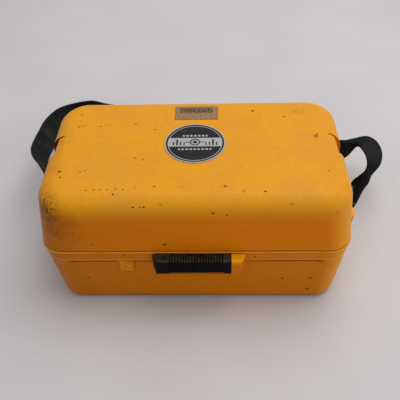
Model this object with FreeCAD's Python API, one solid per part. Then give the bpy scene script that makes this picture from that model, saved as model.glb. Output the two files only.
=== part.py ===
"""Carrying case of an automatic level, with the level packed inside it.

Millimetres, +Z up, +X to the right along the case, +Y to the back, where the hinge is.
The origin is the centre of the base's underside.
"""
import FreeCAD, Part
import os
from math import cos, pi, sin, sqrt
from FreeCAD import Vector

# ---- case shells -------------------------------------------------------------------------
WALL = 3.0
PARTING_Z = 88.0
PARTING_GAP = 0.8
CASE_TOP_Z = 157.8
BASE_BOTTOM = (161.9, 95.2, 26.0)      # half length, half depth, plan corner radius
BASE_RIM = (170.4, 96.5, 25.5)
LID_RIM = (170.4, 96.5, 25.5)
LID_TOP = (164.9, 90.2, 39.0)
BASE_EDGE_ROUND = 9.6
LID_EDGE_ROUND = 21.0
RIM_ROUND = 0.5                         # both shells' edges at the parting
LEDGE = (171.3, 97.3, 26.3)            # thin ledge round the base's top edge
LEDGE_Z = 86.9

PANEL_TOP_Z = 73.0                     # the rim band lies above the recessed panels
PANEL_HALF_X = 146.0
PANEL_FADE = 16.0
PANEL_DEPTH = 2.3

STUB_X = (-85.0, -69.0)                # torn lug on the front
STUB_Z = (55.3, 72.4)
STUB_PROUD = 3.4
STUB_RIB_Z = 45.0

# ---- hinge -------------------------------------------------------------------------------
HINGE_Y = 102.2
HINGE_Z = 88.0
HINGE_X = 92.0                         # each hinge's centre, left and right
KNUCKLE_R = 4.5
KNUCKLE_LEN = 16.0
KNUCKLE_GAP = 0.4
HINGE_PIN_R = 2.0

# ---- end channels and latches ------------------------------------------------------------
CHANNEL_FLOOR_X = 161.3
CHANNEL_Y = (-7.0, 29.0)
CHANNEL_TOP_Z = 106.0
RECESS_Y = (-11.0, 18.5)               # finger recess over each end's top edge
RECESS_FLOOR = ((148.0, 157.8), (157.0, 153.2), (160.4, 146.0), (168.6, 109.5))    # x and z
RECESS_BEND_R = 9.0
CHANNEL_BOTTOM_Z = 36.0
LATCH_Y = (-3.5, 25.5)
LATCH_PIVOT = (166.9, 100.0)           # x and z of the right latch's pin
LATCH_BARREL_R = 2.1
LATCH_PIN_R = 1.1
LATCH_PLATE_X = (166.3, 168.9)
LATCH_FOOT_Z = 72.0
CATCH_Z = (75.0, 79.0)
CATCH_TIP_X = 166.0

# ---- handle ------------------------------------------------------------------------------
HANDLE_BACK_X = (-47.8, 56.0)
HANDLE_FRONT_X = (-42.3, 49.2)
HANDLE_Y = (-109.2, -96.8)             # front and back faces
HANDLE_Z = (64.5, 86.5)
HANDLE_TRAVEL = 24.0
SLEEVE_END_X = 39.3
RIB_FIRST_X = -28.0
RIB_PITCH = 3.0
RIB_GROOVES = 20
RIB_GROOVE = (1.4, 1.7)                # width and depth
TONGUE_OFFSET_X = 28.0
TONGUE_HALF_X = 6.0
TONGUE_Z = (71.0, 79.0)
TONGUE_STOP = (9.0, 4.0)               # half width and length of the stop
GUIDE_Y = (-92.9, -86.2)
TONGUE_END_Y = GUIDE_Y[1] + HANDLE_TRAVEL + TONGUE_STOP[1] + 0.2

# ---- strap -------------------------------------------------------------------------------
STRAP_THICK = 2.4
STRAP_STEPS = 4                        # sections between two stations
LUG_Y = (-45.5, -27.5)
LUG_TIP_X = 181.6
LUG_ARMS_Z = ((44.4, 48.8), (83.4, 87.8))
LUG_BAR = (176.3, -37.0)
LUG_BAR_R = 2.4
LUG_LOOP_R = 3.8                        # from the bar's axis to the middle of the strap round it
STRAP_EDGES_AT_LUG = (83.0, 49.2)

# ---- badge and label ---------------------------------------------------------------------
BADGE_CENTRE = (0.0, 2.0)
BADGE_R = 33.8
BADGE_THICK = 0.8
BADGE_RELIEF = 0.25
LABEL_X = (-25.0, 26.0)
LABEL_Y = (45.5, 71.5)
LABEL_THICK = 0.5

# ---- instrument --------------------------------------------------------------------------
LEVEL_X = -38.0                        # vertical axis of the level
LEVEL_Y = 2.0
SEAT_Z = 13.0
CRADLE_TOP_Z = 32.0
CRADLE_HALF = (150.0, 84.0, 20.0)
CRADLE_WALL = 2.5
WELL_FLOOR_Z = 8.0
SIGHT_Z = 92.0                         # telescope axis
RUN_GAP = 0.05                         # radial clearance of running fits
HOUSING_HALF = (68.0, 31.0, 14.0)
HOUSING_Z = (52.6, 126.0)
HOUSING_WALL = 3.0
FOOT_CIRCLE_R = 36.0
COVER_Z = (126.2, 134.0)
FOCUS_AXIS = (LEVEL_X + 24.0, 92.0)    # x and z of the focus knob's axis
TANGENT_AXIS = (LEVEL_X - 50.0, 70.0)  # x and z of the tangent screw's axis
PENDULUM_PIVOT = (LEVEL_X - 18.0, 116.0)
VIAL = (LEVEL_X - 30.0, LEVEL_Y - 43.0)
VIAL_Z = (117.0, 127.0)
MIRROR_HINGE = (LEVEL_Y - 33.4, 130.2)  # y and z of the bubble mirror's hinge

UP = Vector(0, 0, 1)
ALONG_X = Vector(1, 0, 0)
ALONG_Y = Vector(0, 1, 0)


# ---- helpers -----------------------------------------------------------------------------
def box(x, y, z):
    """A box from three (low, high) pairs."""
    return Part.makeBox(x[1] - x[0], y[1] - y[0], z[1] - z[0], Vector(x[0], y[0], z[0]))


def rod(radius, start, length, axis=UP):
    """A cylinder from a start point along an axis."""
    return Part.makeCylinder(radius, length, Vector(*start), axis)


def tube(outer, inner, start, length, axis=UP):
    """A hollow cylinder."""
    return rod(outer, start, length, axis).cut(rod(inner, start, length, axis))


def rounded_outline(half_x, half_y, radius, z, centre=(0.0, 0.0)):
    """A rounded rectangle's wire at a height."""
    cx, cy = centre
    near = radius * (1 - 1 / sqrt(2))
    edges = []
    corners = ((1, -1), (1, 1), (-1, 1), (-1, -1))
    ends = []
    for sx, sy in corners:
        x, y = cx + sx * half_x, cy + sy * half_y
        on_x = Vector(x - sx * radius, y, z)
        on_y = Vector(x, y - sy * radius, z)
        middle = Vector(x - sx * near, y - sy * near, z)
        first, last = (on_x, on_y) if sx * sy < 0 else (on_y, on_x)
        ends.append((first, middle, last))
    for i, (first, middle, last) in enumerate(ends):
        edges.append(Part.Arc(first, middle, last).toShape())
        edges.append(Part.LineSegment(last, ends[(i + 1) % 4][0]).toShape())
    return Part.Wire(edges)


def drafted_block(low, high, z_low, z_high, centre=(0.0, 0.0)):
    """A rounded block whose size changes evenly with height."""
    wires = [rounded_outline(*low, z_low, centre), rounded_outline(*high, z_high, centre)]
    return Part.makeLoft(wires, True, True)


def shrink(size, by):
    """A (half x, half y, corner radius) size made smaller all round."""
    return tuple(value - by for value in size)


def round_edges_at(shape, z, radius):
    """Fillet the edges that lie wholly at one height."""
    edges = []
    for edge in shape.Edges:
        if abs(edge.BoundBox.ZMin - z) < 1e-4 and abs(edge.BoundBox.ZMax - z) < 1e-4:
            edges.append(edge)
    return shape.makeFillet(radius, edges)


def fuse_all(shapes):
    """One solid from several that touch or overlap."""
    return shapes[0].multiFuse(shapes[1:]).removeSplitter()


def mirror_x(shape):
    """The same shape on the other side of the case."""
    return shape.mirror(Vector(0, 0, 0), ALONG_X)


def fluted_disc(radius, start, length, flutes, flute_r, axis=UP):
    """A round knob with a row of grooves round its rim."""
    disc = rod(radius, start, length, axis)
    side = ALONG_X if abs(axis.x) < 0.5 else UP
    other = axis.cross(side)
    cutters = []
    for i in range(flutes):
        turn = 2 * pi * i / flutes
        out = side * cos(turn) + other * sin(turn)
        at = Vector(*start) + out * (radius + flute_r * 0.45) - axis
        cutters.append(Part.makeCylinder(flute_r, length + 2, at, axis))
    return disc.cut(Part.makeCompound(cutters))


# ---- case base ---------------------------------------------------------------------------
def base_size(z):
    """The base's outer half sizes at a height."""
    share = z / PARTING_Z
    return tuple(low + (high - low) * share for low, high in zip(BASE_BOTTOM, BASE_RIM))


def channel_cutter(z_low, z_high, grow=0.0):
    """The upright channel in the right end; its floor is vertical, so it fades out."""
    x = (CHANNEL_FLOOR_X - grow, CHANNEL_FLOOR_X + 30)
    y = (CHANNEL_Y[0] - grow, CHANNEL_Y[1] + grow)
    cutter = box(x, y, (z_low, z_high))
    upright = []
    for edge in cutter.Edges:
        inner = abs(edge.BoundBox.XMax - x[0]) < 1e-4
        if inner and edge.BoundBox.ZLength > 1:
            upright.append(edge)
    return cutter.makeFillet(2.0 + grow * 0.5, upright)


def finger_recess(grow=0.0):
    """The recess over the right end's top edge; its floor fades out above the latch."""
    y = RECESS_Y[0] - grow
    floor = [Vector(x - 0.8 * grow, y, z - 0.9 * grow) for x, z in RECESS_FLOOR]
    top = CASE_TOP_Z + 10
    outline = floor + [Vector(190, y, floor[-1].z), Vector(190, y, top), Vector(floor[0].x, y, top)]
    face = Part.Face(Part.makePolygon(outline + outline[:1]))
    block = face.extrude(Vector(0, RECESS_Y[1] - RECESS_Y[0] + 2 * grow, 0))
    bends = []
    for edge in block.Edges:
        at = edge.BoundBox
        if at.YLength > 1 and abs(at.XMin - floor[1].x) < 1e-4:
            bends.append(edge)
    return block.makeFillet(RECESS_BEND_R, bends)


def panel_cutter():
    """A shallow recess on the front, below the rim band, that fades at its ends."""
    wires = []
    for z in (-1.0, PANEL_TOP_Z):
        face = -base_size(z)[1]
        inner = face + PANEL_DEPTH
        outer = face - 5.0
        flat = PANEL_HALF_X - PANEL_FADE
        points = [(-PANEL_HALF_X, face), (-flat, inner), (flat, inner), (PANEL_HALF_X, face),
                  (PANEL_HALF_X, outer), (-PANEL_HALF_X, outer)]
        corners = [Vector(x, y, z) for x, y in points]
        wires.append(Part.makePolygon(corners + corners[:1]))
    return Part.makeLoft(wires, True, True)


def knuckle(x_low, length, bridge_z, wall_y):
    """One hinge knuckle with the web that joins it to its wall."""
    barrel = rod(KNUCKLE_R, (x_low, HINGE_Y, HINGE_Z), length, ALONG_X)
    web = box((x_low, x_low + length), (wall_y, HINGE_Y), bridge_z)
    bore = rod(HINGE_PIN_R + RUN_GAP, (x_low - 1, HINGE_Y, HINGE_Z), length + 2, ALONG_X)
    return barrel.fuse(web).cut(bore)


def base_knuckles():
    """Two knuckles of the base at each hinge."""
    pieces = []
    web_z = (HINGE_Z - KNUCKLE_R, HINGE_Z - 0.1)
    for side in (-1, 1):
        for place in (-1, 1):
            middle = side * HINGE_X + place * (KNUCKLE_LEN + KNUCKLE_GAP)
            pieces.append(knuckle(middle - KNUCKLE_LEN / 2, KNUCKLE_LEN, web_z, 94.5))
    return pieces


def strap_lug():
    """The right end's moulded lug: two arms and the upright bar that holds the strap."""
    pieces = []
    for z in LUG_ARMS_Z:
        arm = box((166.0, LUG_TIP_X), LUG_Y, z)
        corners = []
        for edge in arm.Edges:
            if edge.BoundBox.ZLength > 1 and edge.BoundBox.XMin > LUG_TIP_X - 1:
                corners.append(edge)
        pieces.append(arm.makeFillet(7.0, corners))
    low, high = LUG_ARMS_Z[0][0] + 1, LUG_ARMS_Z[1][1] - 1
    pieces.append(rod(LUG_BAR_R, (*LUG_BAR, low), high - low))
    return fuse_all(pieces)


def torn_stub():
    """What is left of a lug broken off the front: an uneven block and two faint ribs."""
    face = -base_size(60.0)[1] + PANEL_DEPTH
    left, right = STUB_X
    low, high = STUB_Z
    outline = [(left, low + 1.5), (left + 4, low - 0.6), (left + 9, low + 0.8), (right - 2, low),
               (right, low + 4), (right - 0.8, high - 3), (right + 0.3, high), (left - 0.4, high)]
    corners = [Vector(x, face + 1.5, z) for x, z in outline]
    block = Part.Face(Part.makePolygon(corners + corners[:1]))
    block = block.extrude(Vector(0, -STUB_PROUD - 1.5, 0))
    slope = Part.makeBox(40, 10, 40, Vector(left - 10, face - STUB_PROUD - 9.2, low - 8))
    slope.rotate(Vector(left, face - STUB_PROUD, low), ALONG_X, -7.0)
    pieces = [block.cut(slope)]
    for x in (left + 0.5, right - 3.1):
        pieces.append(box((x - 0.9, x + 0.9), (face - 0.7, face + 1.5), (STUB_RIB_Z, low + 2)))
    return pieces


def make_base_shell():
    """The lower half of the case, one moulding."""
    outer = round_edges_at(drafted_block(BASE_BOTTOM, BASE_RIM, 0, PARTING_Z), 0, BASE_EDGE_ROUND)
    outer = outer.fuse(drafted_block(LEDGE, LEDGE, LEDGE_Z, PARTING_Z)).removeSplitter()
    outer = round_edges_at(outer, PARTING_Z, RIM_ROUND)
    outer = outer.cut(panel_cutter())
    rise = WALL / PARTING_Z
    inner_low = tuple(a + (b - a) * rise for a, b in zip(BASE_BOTTOM, BASE_RIM))
    inner = drafted_block(shrink(inner_low, WALL), shrink(BASE_RIM, WALL), WALL, PARTING_Z + 0.001)
    inner = round_edges_at(inner, WALL, BASE_EDGE_ROUND - WALL)
    catch = box((CHANNEL_FLOOR_X - 1, CATCH_TIP_X), (2.0, 20.0), CATCH_Z)
    lug = strap_lug()
    for flip in (lambda shape: shape, mirror_x):
        outer = outer.cut(flip(channel_cutter(CHANNEL_BOTTOM_Z, PARTING_Z + 1)))
        inner = inner.cut(flip(channel_cutter(CHANNEL_BOTTOM_Z - WALL, PARTING_Z + 1, WALL)))
        outer = outer.fuse(flip(lug)).fuse(flip(catch))
    outer = outer.multiFuse(base_knuckles() + torn_stub())
    shell = outer.cut(inner)
    for x in tongue_centres():
        half = TONGUE_HALF_X + 0.25
        slot_z = (TONGUE_Z[0] - 0.25, TONGUE_Z[1] + 0.25)
        shell = shell.cut(box((x - half, x + half), (-110.0, -85.0), slot_z))
    return shell.removeSplitter()


# ---- lid ---------------------------------------------------------------------------------
def lid_knuckles():
    """The lid's middle knuckle at each hinge."""
    web_z = (PARTING_Z + PARTING_GAP, HINGE_Z + KNUCKLE_R)
    pieces = []
    for side in (-1, 1):
        x_low = side * HINGE_X - KNUCKLE_LEN / 2
        pieces.append(knuckle(x_low, KNUCKLE_LEN, web_z, 94.9))
    return pieces


def make_lid_shell():
    """The upper half of the case, with a latch channel in each end."""
    z_low = PARTING_Z + PARTING_GAP
    outer = drafted_block(LID_RIM, LID_TOP, z_low, CASE_TOP_Z)
    outer = round_edges_at(outer, CASE_TOP_Z, LID_EDGE_ROUND)
    outer = round_edges_at(outer, z_low, RIM_ROUND)
    inner = drafted_block(shrink(LID_RIM, WALL), shrink(LID_TOP, WALL), z_low, CASE_TOP_Z - WALL)
    inner = round_edges_at(inner, CASE_TOP_Z - WALL, LID_EDGE_ROUND - WALL)
    x, z = LATCH_PIVOT
    pin_hole = rod(LATCH_PIN_R + RUN_GAP, (x, CHANNEL_Y[0] - 2.5, z), 41.0, ALONG_Y)
    for flip in (lambda shape: shape, mirror_x):
        outer = outer.cut(flip(channel_cutter(z_low - 1, CHANNEL_TOP_Z))).cut(flip(finger_recess()))
        inner = inner.cut(flip(channel_cutter(z_low - 1, CHANNEL_TOP_Z + WALL, WALL)))
        inner = inner.cut(flip(finger_recess(WALL)))
        outer = outer.cut(flip(pin_hole))
    outer = outer.multiFuse(lid_knuckles())
    return outer.cut(inner).removeSplitter()


def make_hinge_pin(side):
    """A steel pin through one hinge's three knuckles."""
    half = 1.5 * KNUCKLE_LEN + KNUCKLE_GAP
    start = (side * HINGE_X - half + 0.5, HINGE_Y, HINGE_Z)
    return rod(HINGE_PIN_R, start, 2 * half - 1.0, ALONG_X)


def make_badge_plate():
    """A round badge: a disc with a raised rim, an inner ring and a band across."""
    z = CASE_TOP_Z
    at = (*BADGE_CENTRE, z)
    disc = rod(BADGE_R, at, BADGE_THICK)
    top = (*BADGE_CENTRE, z + BADGE_THICK - 0.2)
    relief = 0.2 + BADGE_RELIEF
    rim = tube(BADGE_R, BADGE_R - 1.6, top, relief)
    ring = tube(BADGE_R - 3.4, BADGE_R - 4.1, top, relief)
    field = rod(BADGE_R - 3.4, top, relief)
    middle = BADGE_CENTRE[1] + 1.0
    band = field.common(box((-40, 40), (middle - 7.5, middle + 7.5), (z, z + 3)))
    return fuse_all([disc, rim, ring, band])


def make_label_plate():
    """A thin plate with small corner radii."""
    plate = box(LABEL_X, LABEL_Y, (CASE_TOP_Z, CASE_TOP_Z + LABEL_THICK))
    upright = [edge for edge in plate.Edges if edge.BoundBox.ZLength > 0.9 * LABEL_THICK]
    return plate.makeFillet(1.5, upright)


# ---- latches -----------------------------------------------------------------------------
def make_latch():
    """The right snap flap: a barrel on its pin, a plate, and a lip for the finger."""
    x, z = LATCH_PIVOT
    start = (x, LATCH_Y[0], z)
    length = LATCH_Y[1] - LATCH_Y[0]
    barrel = rod(LATCH_BARREL_R, start, length, ALONG_Y)
    plate = box(LATCH_PLATE_X, LATCH_Y, (LATCH_FOOT_Z, z))
    lip_x = (LATCH_PLATE_X[0] + 0.6, LATCH_PLATE_X[1] + 2.0)
    lip = box(lip_x, LATCH_Y, (LATCH_FOOT_Z, LATCH_FOOT_Z + 3.0))
    bore = rod(LATCH_PIN_R + RUN_GAP, (x, LATCH_Y[0] - 1, z), length + 2, ALONG_Y)
    ribs = []
    for i in range(4):
        rib_z = LATCH_FOOT_Z + 6.0 + 3.0 * i
        ribs.append(box((168.5, 169.5), (LATCH_Y[0] + 4, LATCH_Y[1] - 4), (rib_z, rib_z + 1.2)))
    return fuse_all([barrel, plate, lip] + ribs).cut(bore)


def make_latch_pin():
    """The right latch's pin, held in the channel's side walls."""
    x, z = LATCH_PIVOT
    return rod(LATCH_PIN_R, (x, CHANNEL_Y[0] - 2.2, z), 40.4, ALONG_Y)


# ---- handle ------------------------------------------------------------------------------
def tongue_centres():
    """Where the handle's two tongues lie along the case."""
    middle = sum(HANDLE_BACK_X) / 2
    return (middle - TONGUE_OFFSET_X, middle + TONGUE_OFFSET_X)


def handle_envelope(inset=0.0):
    """The handle's outer form, with ends that taper towards the front."""
    back_y = HANDLE_Y[1] - inset
    front_y = HANDLE_Y[0] + inset
    points = [(HANDLE_BACK_X[0] + inset, back_y), (HANDLE_BACK_X[1] - inset, back_y),
              (HANDLE_FRONT_X[1] - inset, front_y), (HANDLE_FRONT_X[0] + inset, front_y)]
    corners = [Vector(x, y, HANDLE_Z[0] + inset) for x, y in points]
    face = Part.Face(Part.makePolygon(corners + corners[:1]))
    solid = face.extrude(Vector(0, 0, HANDLE_Z[1] - HANDLE_Z[0] - 2 * inset))
    return solid.makeFillet(2.4 if inset == 0 else 1.2, solid.Edges)


def handle_core():
    """The bar inside the sleeve."""
    return box((-43.0, SLEEVE_END_X + 1), (HANDLE_Y[0] + 2.6, HANDLE_Y[1] - 2.6), (68.0, 84.0))


def tongues():
    """Two flat tongues with stops at their inner ends."""
    pieces = []
    stop_half, stop_len = TONGUE_STOP
    for x in tongue_centres():
        y = (HANDLE_Y[1] - 4.0, TONGUE_END_Y)
        pieces.append(box((x - TONGUE_HALF_X, x + TONGUE_HALF_X), y, TONGUE_Z))
        stop_y = (TONGUE_END_Y - stop_len, TONGUE_END_Y)
        pieces.append(box((x - stop_half, x + stop_half), stop_y, TONGUE_Z))
    return pieces


def make_handle_bar():
    """The yellow handle: its bare right end, the core under the sleeve and the tongues."""
    end = handle_envelope().common(box((SLEEVE_END_X, 80), (-130, -80), (50, 100)))
    return fuse_all([end, handle_core()] + tongues())


def make_grip_sleeve():
    """The rubber sleeve, ribbed between two plain collars."""
    sleeve = handle_envelope().common(box((-80, SLEEVE_END_X - 0.05), (-130, -80), (50, 100)))
    width, depth = RIB_GROOVE
    slabs = []
    for i in range(RIB_GROOVES):
        x = RIB_FIRST_X + RIB_PITCH * i
        slabs.append(box((x, x + width), (-130, -80), (50, 100)))
    kept = box((-60, 60), (HANDLE_Y[0] + depth, HANDLE_Y[1]), (HANDLE_Z[0] + depth, HANDLE_Z[1] - depth))
    sleeve = sleeve.cut(Part.makeCompound(slabs).cut(kept))
    sleeve = sleeve.cut(handle_core())
    for x in tongue_centres():
        half = TONGUE_HALF_X + 0.1
        hole_z = (TONGUE_Z[0] - 0.1, TONGUE_Z[1] + 0.1)
        sleeve = sleeve.cut(box((x - half, x + half), (HANDLE_Y[1] - 5, HANDLE_Y[1] + 5), hole_z))
    return sleeve


def make_handle_guides():
    """Two brackets behind the front wall that guide the tongues and stop them."""
    pieces = []
    for x in tongue_centres():
        half = TONGUE_HALF_X + 0.25
        bracket = box((x - half - 3, x + half + 3), GUIDE_Y, (TONGUE_Z[0] - 3.2, TONGUE_Z[1] + 3.2))
        slot_z = (TONGUE_Z[0] - 0.25, TONGUE_Z[1] + 0.25)
        slot = box((x - half, x + half), (GUIDE_Y[0] - 1, GUIDE_Y[1] + 1), slot_z)
        pieces.append(bracket.cut(slot))
    return Part.makeCompound(pieces)


# ---- strap -------------------------------------------------------------------------------
# Each station is a pair of points on the strap's two edges, from the right lug to the left one.
# The first edge is the upper one at the right lug. The strap turns half over behind the case's
# right corner, so from there on it is the lower one.
STRAP_STATIONS = [
    ((185.0, 4.0, 94.0), (193.0, -2.0, 61.0)),
    ((196.0, 16.0, 93.5), (207.4, 23.6, 61.4)),
    ((206.0, 28.0, 91.0), (217.5, 38.7, 60.0)),
    ((211.5, 40.0, 88.0), (224.5, 53.0, 60.0)),
    ((214.5, 51.0, 84.0), (237.7, 67.3, 64.5)),
    ((217.0, 63.0, 79.0), (243.5, 83.0, 69.0)),
    ((219.4, 77.0, 73.0), (244.5, 101.0, 69.0)),
    ((220.8, 92.0, 67.0), (242.0, 119.5, 65.5)),
    ((221.6, 107.0, 60.0), (235.5, 136.5, 58.0)),
    ((223.0, 121.0, 52.0), (221.5, 142.5, 49.5)),
    ((222.0, 131.0, 42.0), (204.5, 131.5, 55.5)),
    ((206.6, 125.0, 27.0), (197.5, 126.0, 60.0)),
    ((181.0, 131.0, 16.0), (176.0, 131.0, 50.0)),
    ((140.0, 148.0, 6.0), (138.0, 149.0, 40.0)),
    ((80.0, 175.0, 2.6), (80.0, 176.0, 36.6)),
    ((0.0, 207.0, 1.6), (0.0, 209.0, 35.6)),
    ((-80.0, 234.0, 2.2), (-81.0, 236.0, 36.2)),
    ((-146.0, 250.0, 5.0), (-148.0, 249.0, 39.0)),
    ((-173.0, 252.0, 11.0), (-176.0, 251.0, 45.0)),
    ((-198.0, 239.0, 16.5), (-203.0, 236.0, 50.5)),
    ((-212.0, 216.0, 24.0), (-220.5, 213.0, 57.5)),
    ((-216.5, 179.0, 34.0), (-229.0, 175.0, 66.0)),
    ((-213.5, 143.0, 41.5), (-229.5, 140.5, 72.0)),
    ((-212.0, 109.0, 49.5), (-228.6, 99.0, 78.0)),
    ((-208.5, 86.0, 55.5), (-219.5, 71.5, 84.5)),
    ((-202.0, 60.0, 60.0), (-201.5, 44.0, 90.5)),
    ((-191.5, 30.0, 57.5), (-189.5, 24.0, 91.0)),
    ((-186.0, 5.0, 53.0), (-184.5, 2.0, 87.0)),
]


def lug_loop(side, first_z, second_z):
    """Stations of one strap end: its sewn tail, round the bar and off along the case."""
    plan = [(177.0, -6.0), (176.6, -13.0), (174.9, -25.0)]
    for step in range(5):
        turn = pi + step * pi / 4
        plan.append((LUG_BAR[0] + LUG_LOOP_R * cos(turn), LUG_BAR[1] + LUG_LOOP_R * sin(turn)))
    plan += [(179.8, -25.0), (180.4, -14.0)]
    return [((side * x, y, first_z), (side * x, y, second_z)) for x, y in plan]


def smooth_through(points, steps):
    """Points on a smooth curve through the given ones."""
    vectors = [Vector(*point) for point in points]
    ends = [vectors[0] * 2 - vectors[1]] + vectors + [vectors[-1] * 2 - vectors[-2]]
    curve = []
    for i in range(1, len(ends) - 2):
        before, start, end, after = ends[i - 1:i + 3]
        for step in range(steps):
            t = step / steps
            curve.append(start * 2 + (end - before) * t
                         + (before * 2 - start * 5 + end * 4 - after) * (t * t)
                         + (start * 3 - before - end * 3 + after) * (t * t * t))
    curve = [point * 0.5 for point in curve]
    return curve + [vectors[-1]]


def strap_sections():
    """The strap's four corners at every section along it."""
    top, low = STRAP_EDGES_AT_LUG
    stations = lug_loop(1, top, low) + STRAP_STATIONS + list(reversed(lug_loop(-1, low, top)))
    first = smooth_through([station[0] for station in stations], STRAP_STEPS)
    second = smooth_through([station[1] for station in stations], STRAP_STEPS)
    middle = [(a + b) * 0.5 for a, b in zip(first, second)]
    sections = []
    for i, (one, other) in enumerate(zip(first, second)):
        ahead = middle[min(i + 1, len(middle) - 1)] - middle[max(i - 1, 0)]
        across = (one - other).normalize()
        out = ahead.cross(across).normalize() * (STRAP_THICK / 2)
        sections.append((one + out, one - out, other - out, other + out))
    return sections


def make_shoulder_strap():
    """The strap as one closed ribbon of flat facets."""
    sections = strap_sections()
    faces = []
    for first, second in zip(sections, sections[1:]):
        for i in range(4):
            a, b = first[i], first[(i + 1) % 4]
            c, d = second[(i + 1) % 4], second[i]
            faces.append(Part.Face(Part.makePolygon([a, b, c, a])))
            faces.append(Part.Face(Part.makePolygon([a, c, d, a])))
    for end in (sections[0], sections[-1]):
        a, b, c, d = end
        faces.append(Part.Face(Part.makePolygon([a, b, c, a])))
        faces.append(Part.Face(Part.makePolygon([a, c, d, a])))
    shell = Part.makeShell(faces)
    shell.sewShape()
    solid = Part.Solid(shell)
    if solid.Volume < 0:
        solid.reverse()
    return solid


# ---- inside the case ---------------------------------------------------------------------
def make_instrument_cradle():
    """A thin moulded insert with a round seat for the level and a well for accessories."""
    outer = cradle_form(0.0)
    return outer.cut(cradle_form(CRADLE_WALL))


def cradle_form(inset):
    """The insert's outer form, or with an inset the space beneath its skin."""
    size = shrink(CRADLE_HALF, inset)
    z_low = WALL + 0.3 - inset
    block = drafted_block(size, size, z_low, CRADLE_TOP_Z - inset)
    if inset == 0:
        block = round_edges_at(block, CRADLE_TOP_Z, 3.0)
    seat = rod(52.0 + inset, (LEVEL_X, LEVEL_Y, SEAT_Z - inset), 40)
    well_size = (34.0 + inset, 70.0 + inset, 8.0 + inset)
    well = drafted_block(well_size, well_size, WELL_FLOOR_Z - inset, 60.0, centre=(108.0, 0.0))
    slot_x = (LEVEL_X - 14 - inset, LEVEL_X + 14 + inset)
    finger_slots = box(slot_x, (-76.0 - inset, 78.0 + inset), (20.0 - inset, 60.0))
    return block.cut(seat).cut(well).cut(finger_slots)


def make_lid_pad():
    """A foam pad glued under the lid, over the level."""
    size = (66.0, 30.0, 10.0)
    return drafted_block(size, size, 146.0, CASE_TOP_Z - WALL - 0.3, centre=(LEVEL_X + 2, LEVEL_Y + 12))


def make_plumb_bob():
    """A turned bob with its cap, lying along Y in the well."""
    profile = [(0, -52), (2.0, -50), (13.0, -12), (13.0, 8), (8.0, 14), (8.0, 20), (5.5, 22), (5.5, 30), (0, 30)]
    centre_x, centre_z = 90.0, 21.6
    points = [Vector(centre_x + r, y, centre_z) for r, y in profile]
    outline = Part.Face(Part.makePolygon(points + points[:1]))
    return outline.revolve(Vector(centre_x, 0, centre_z), ALONG_Y, 360)


def make_adjusting_pin():
    """A straight pin with a knob, for the reticle's capstan screws."""
    shaft = rod(1.2, (112.0, -40.0, 11.4), 60.0, ALONG_Y)
    head = rod(3.0, (112.0, 20.0, 11.4), 14.0, ALONG_Y)
    return fuse_all([shaft, head])


def make_hex_wrench():
    """An L-shaped hexagonal key."""
    def hexagon(centre, axis, length):
        side = UP if abs(axis.z) < 0.5 else ALONG_X
        other = axis.cross(side)
        turns = [2 * pi * i / 6 for i in range(6)]
        corners = [Vector(*centre) + side * (1.6 * cos(t)) + other * (1.6 * sin(t)) for t in turns]
        return Part.Face(Part.makePolygon(corners + corners[:1])).extrude(axis * length)
    long_leg = hexagon((122.0, -45.0, 10.0), ALONG_Y, 58.0)
    short_leg = hexagon((105.6, -43.4, 10.0), ALONG_X, 18.0)
    return fuse_all([long_leg, short_leg])


# ---- level: base -------------------------------------------------------------------------
def foot_places():
    """The three foot screws' places round the level's axis."""
    turns = [pi / 2 + 2 * pi * i / 3 for i in range(3)]
    return [(LEVEL_X + FOOT_CIRCLE_R * cos(t), LEVEL_Y + FOOT_CIRCLE_R * sin(t)) for t in turns]


def level_rod(radius, z_low, z_high):
    """A cylinder on the level's vertical axis."""
    return rod(radius, (LEVEL_X, LEVEL_Y, z_low), z_high - z_low)


def make_base_plate():
    """The plate that the tripod screw holds, with its 5/8 inch thread's bore."""
    plate = level_rod(47.0, SEAT_Z + 0.2, 18.0)
    boss = level_rod(15.0, 17.0, 25.0)
    bore = level_rod(7.0, 10.0, 30.0)
    return plate.fuse(boss).cut(bore).removeSplitter()


def make_foot_screw(place):
    """A foot screw: fluted knob, stem and ball end."""
    x, y = place
    knob = fluted_disc(11.0, (x, y, 20.6), 11.0, 18, 1.2)
    stem = rod(3.5, (x, y, 19.0), 22.5)
    ball = Part.makeSphere(3.4, Vector(x, y, 21.6))
    return fuse_all([knob, stem, ball])


def make_levelling_head():
    """The head that the foot screws carry, with the spindle boss for the circle."""
    plate = level_rod(48.0, 33.0, 43.0)
    boss = level_rod(29.0, 42.0, 52.0)
    head = plate.fuse(boss)
    for x, y in foot_places():
        head = head.cut(rod(3.5 + RUN_GAP, (x, y, 30.0), 20.0))
    return head.removeSplitter()


def make_circle_ring():
    """The horizontal circle's ring, turned by hand on the boss."""
    ring = fluted_disc(47.0, (LEVEL_X, LEVEL_Y, 43.4), 8.4, 72, 0.8)
    return ring.cut(level_rod(29.0 + RUN_GAP, 40.0, 60.0))


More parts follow.
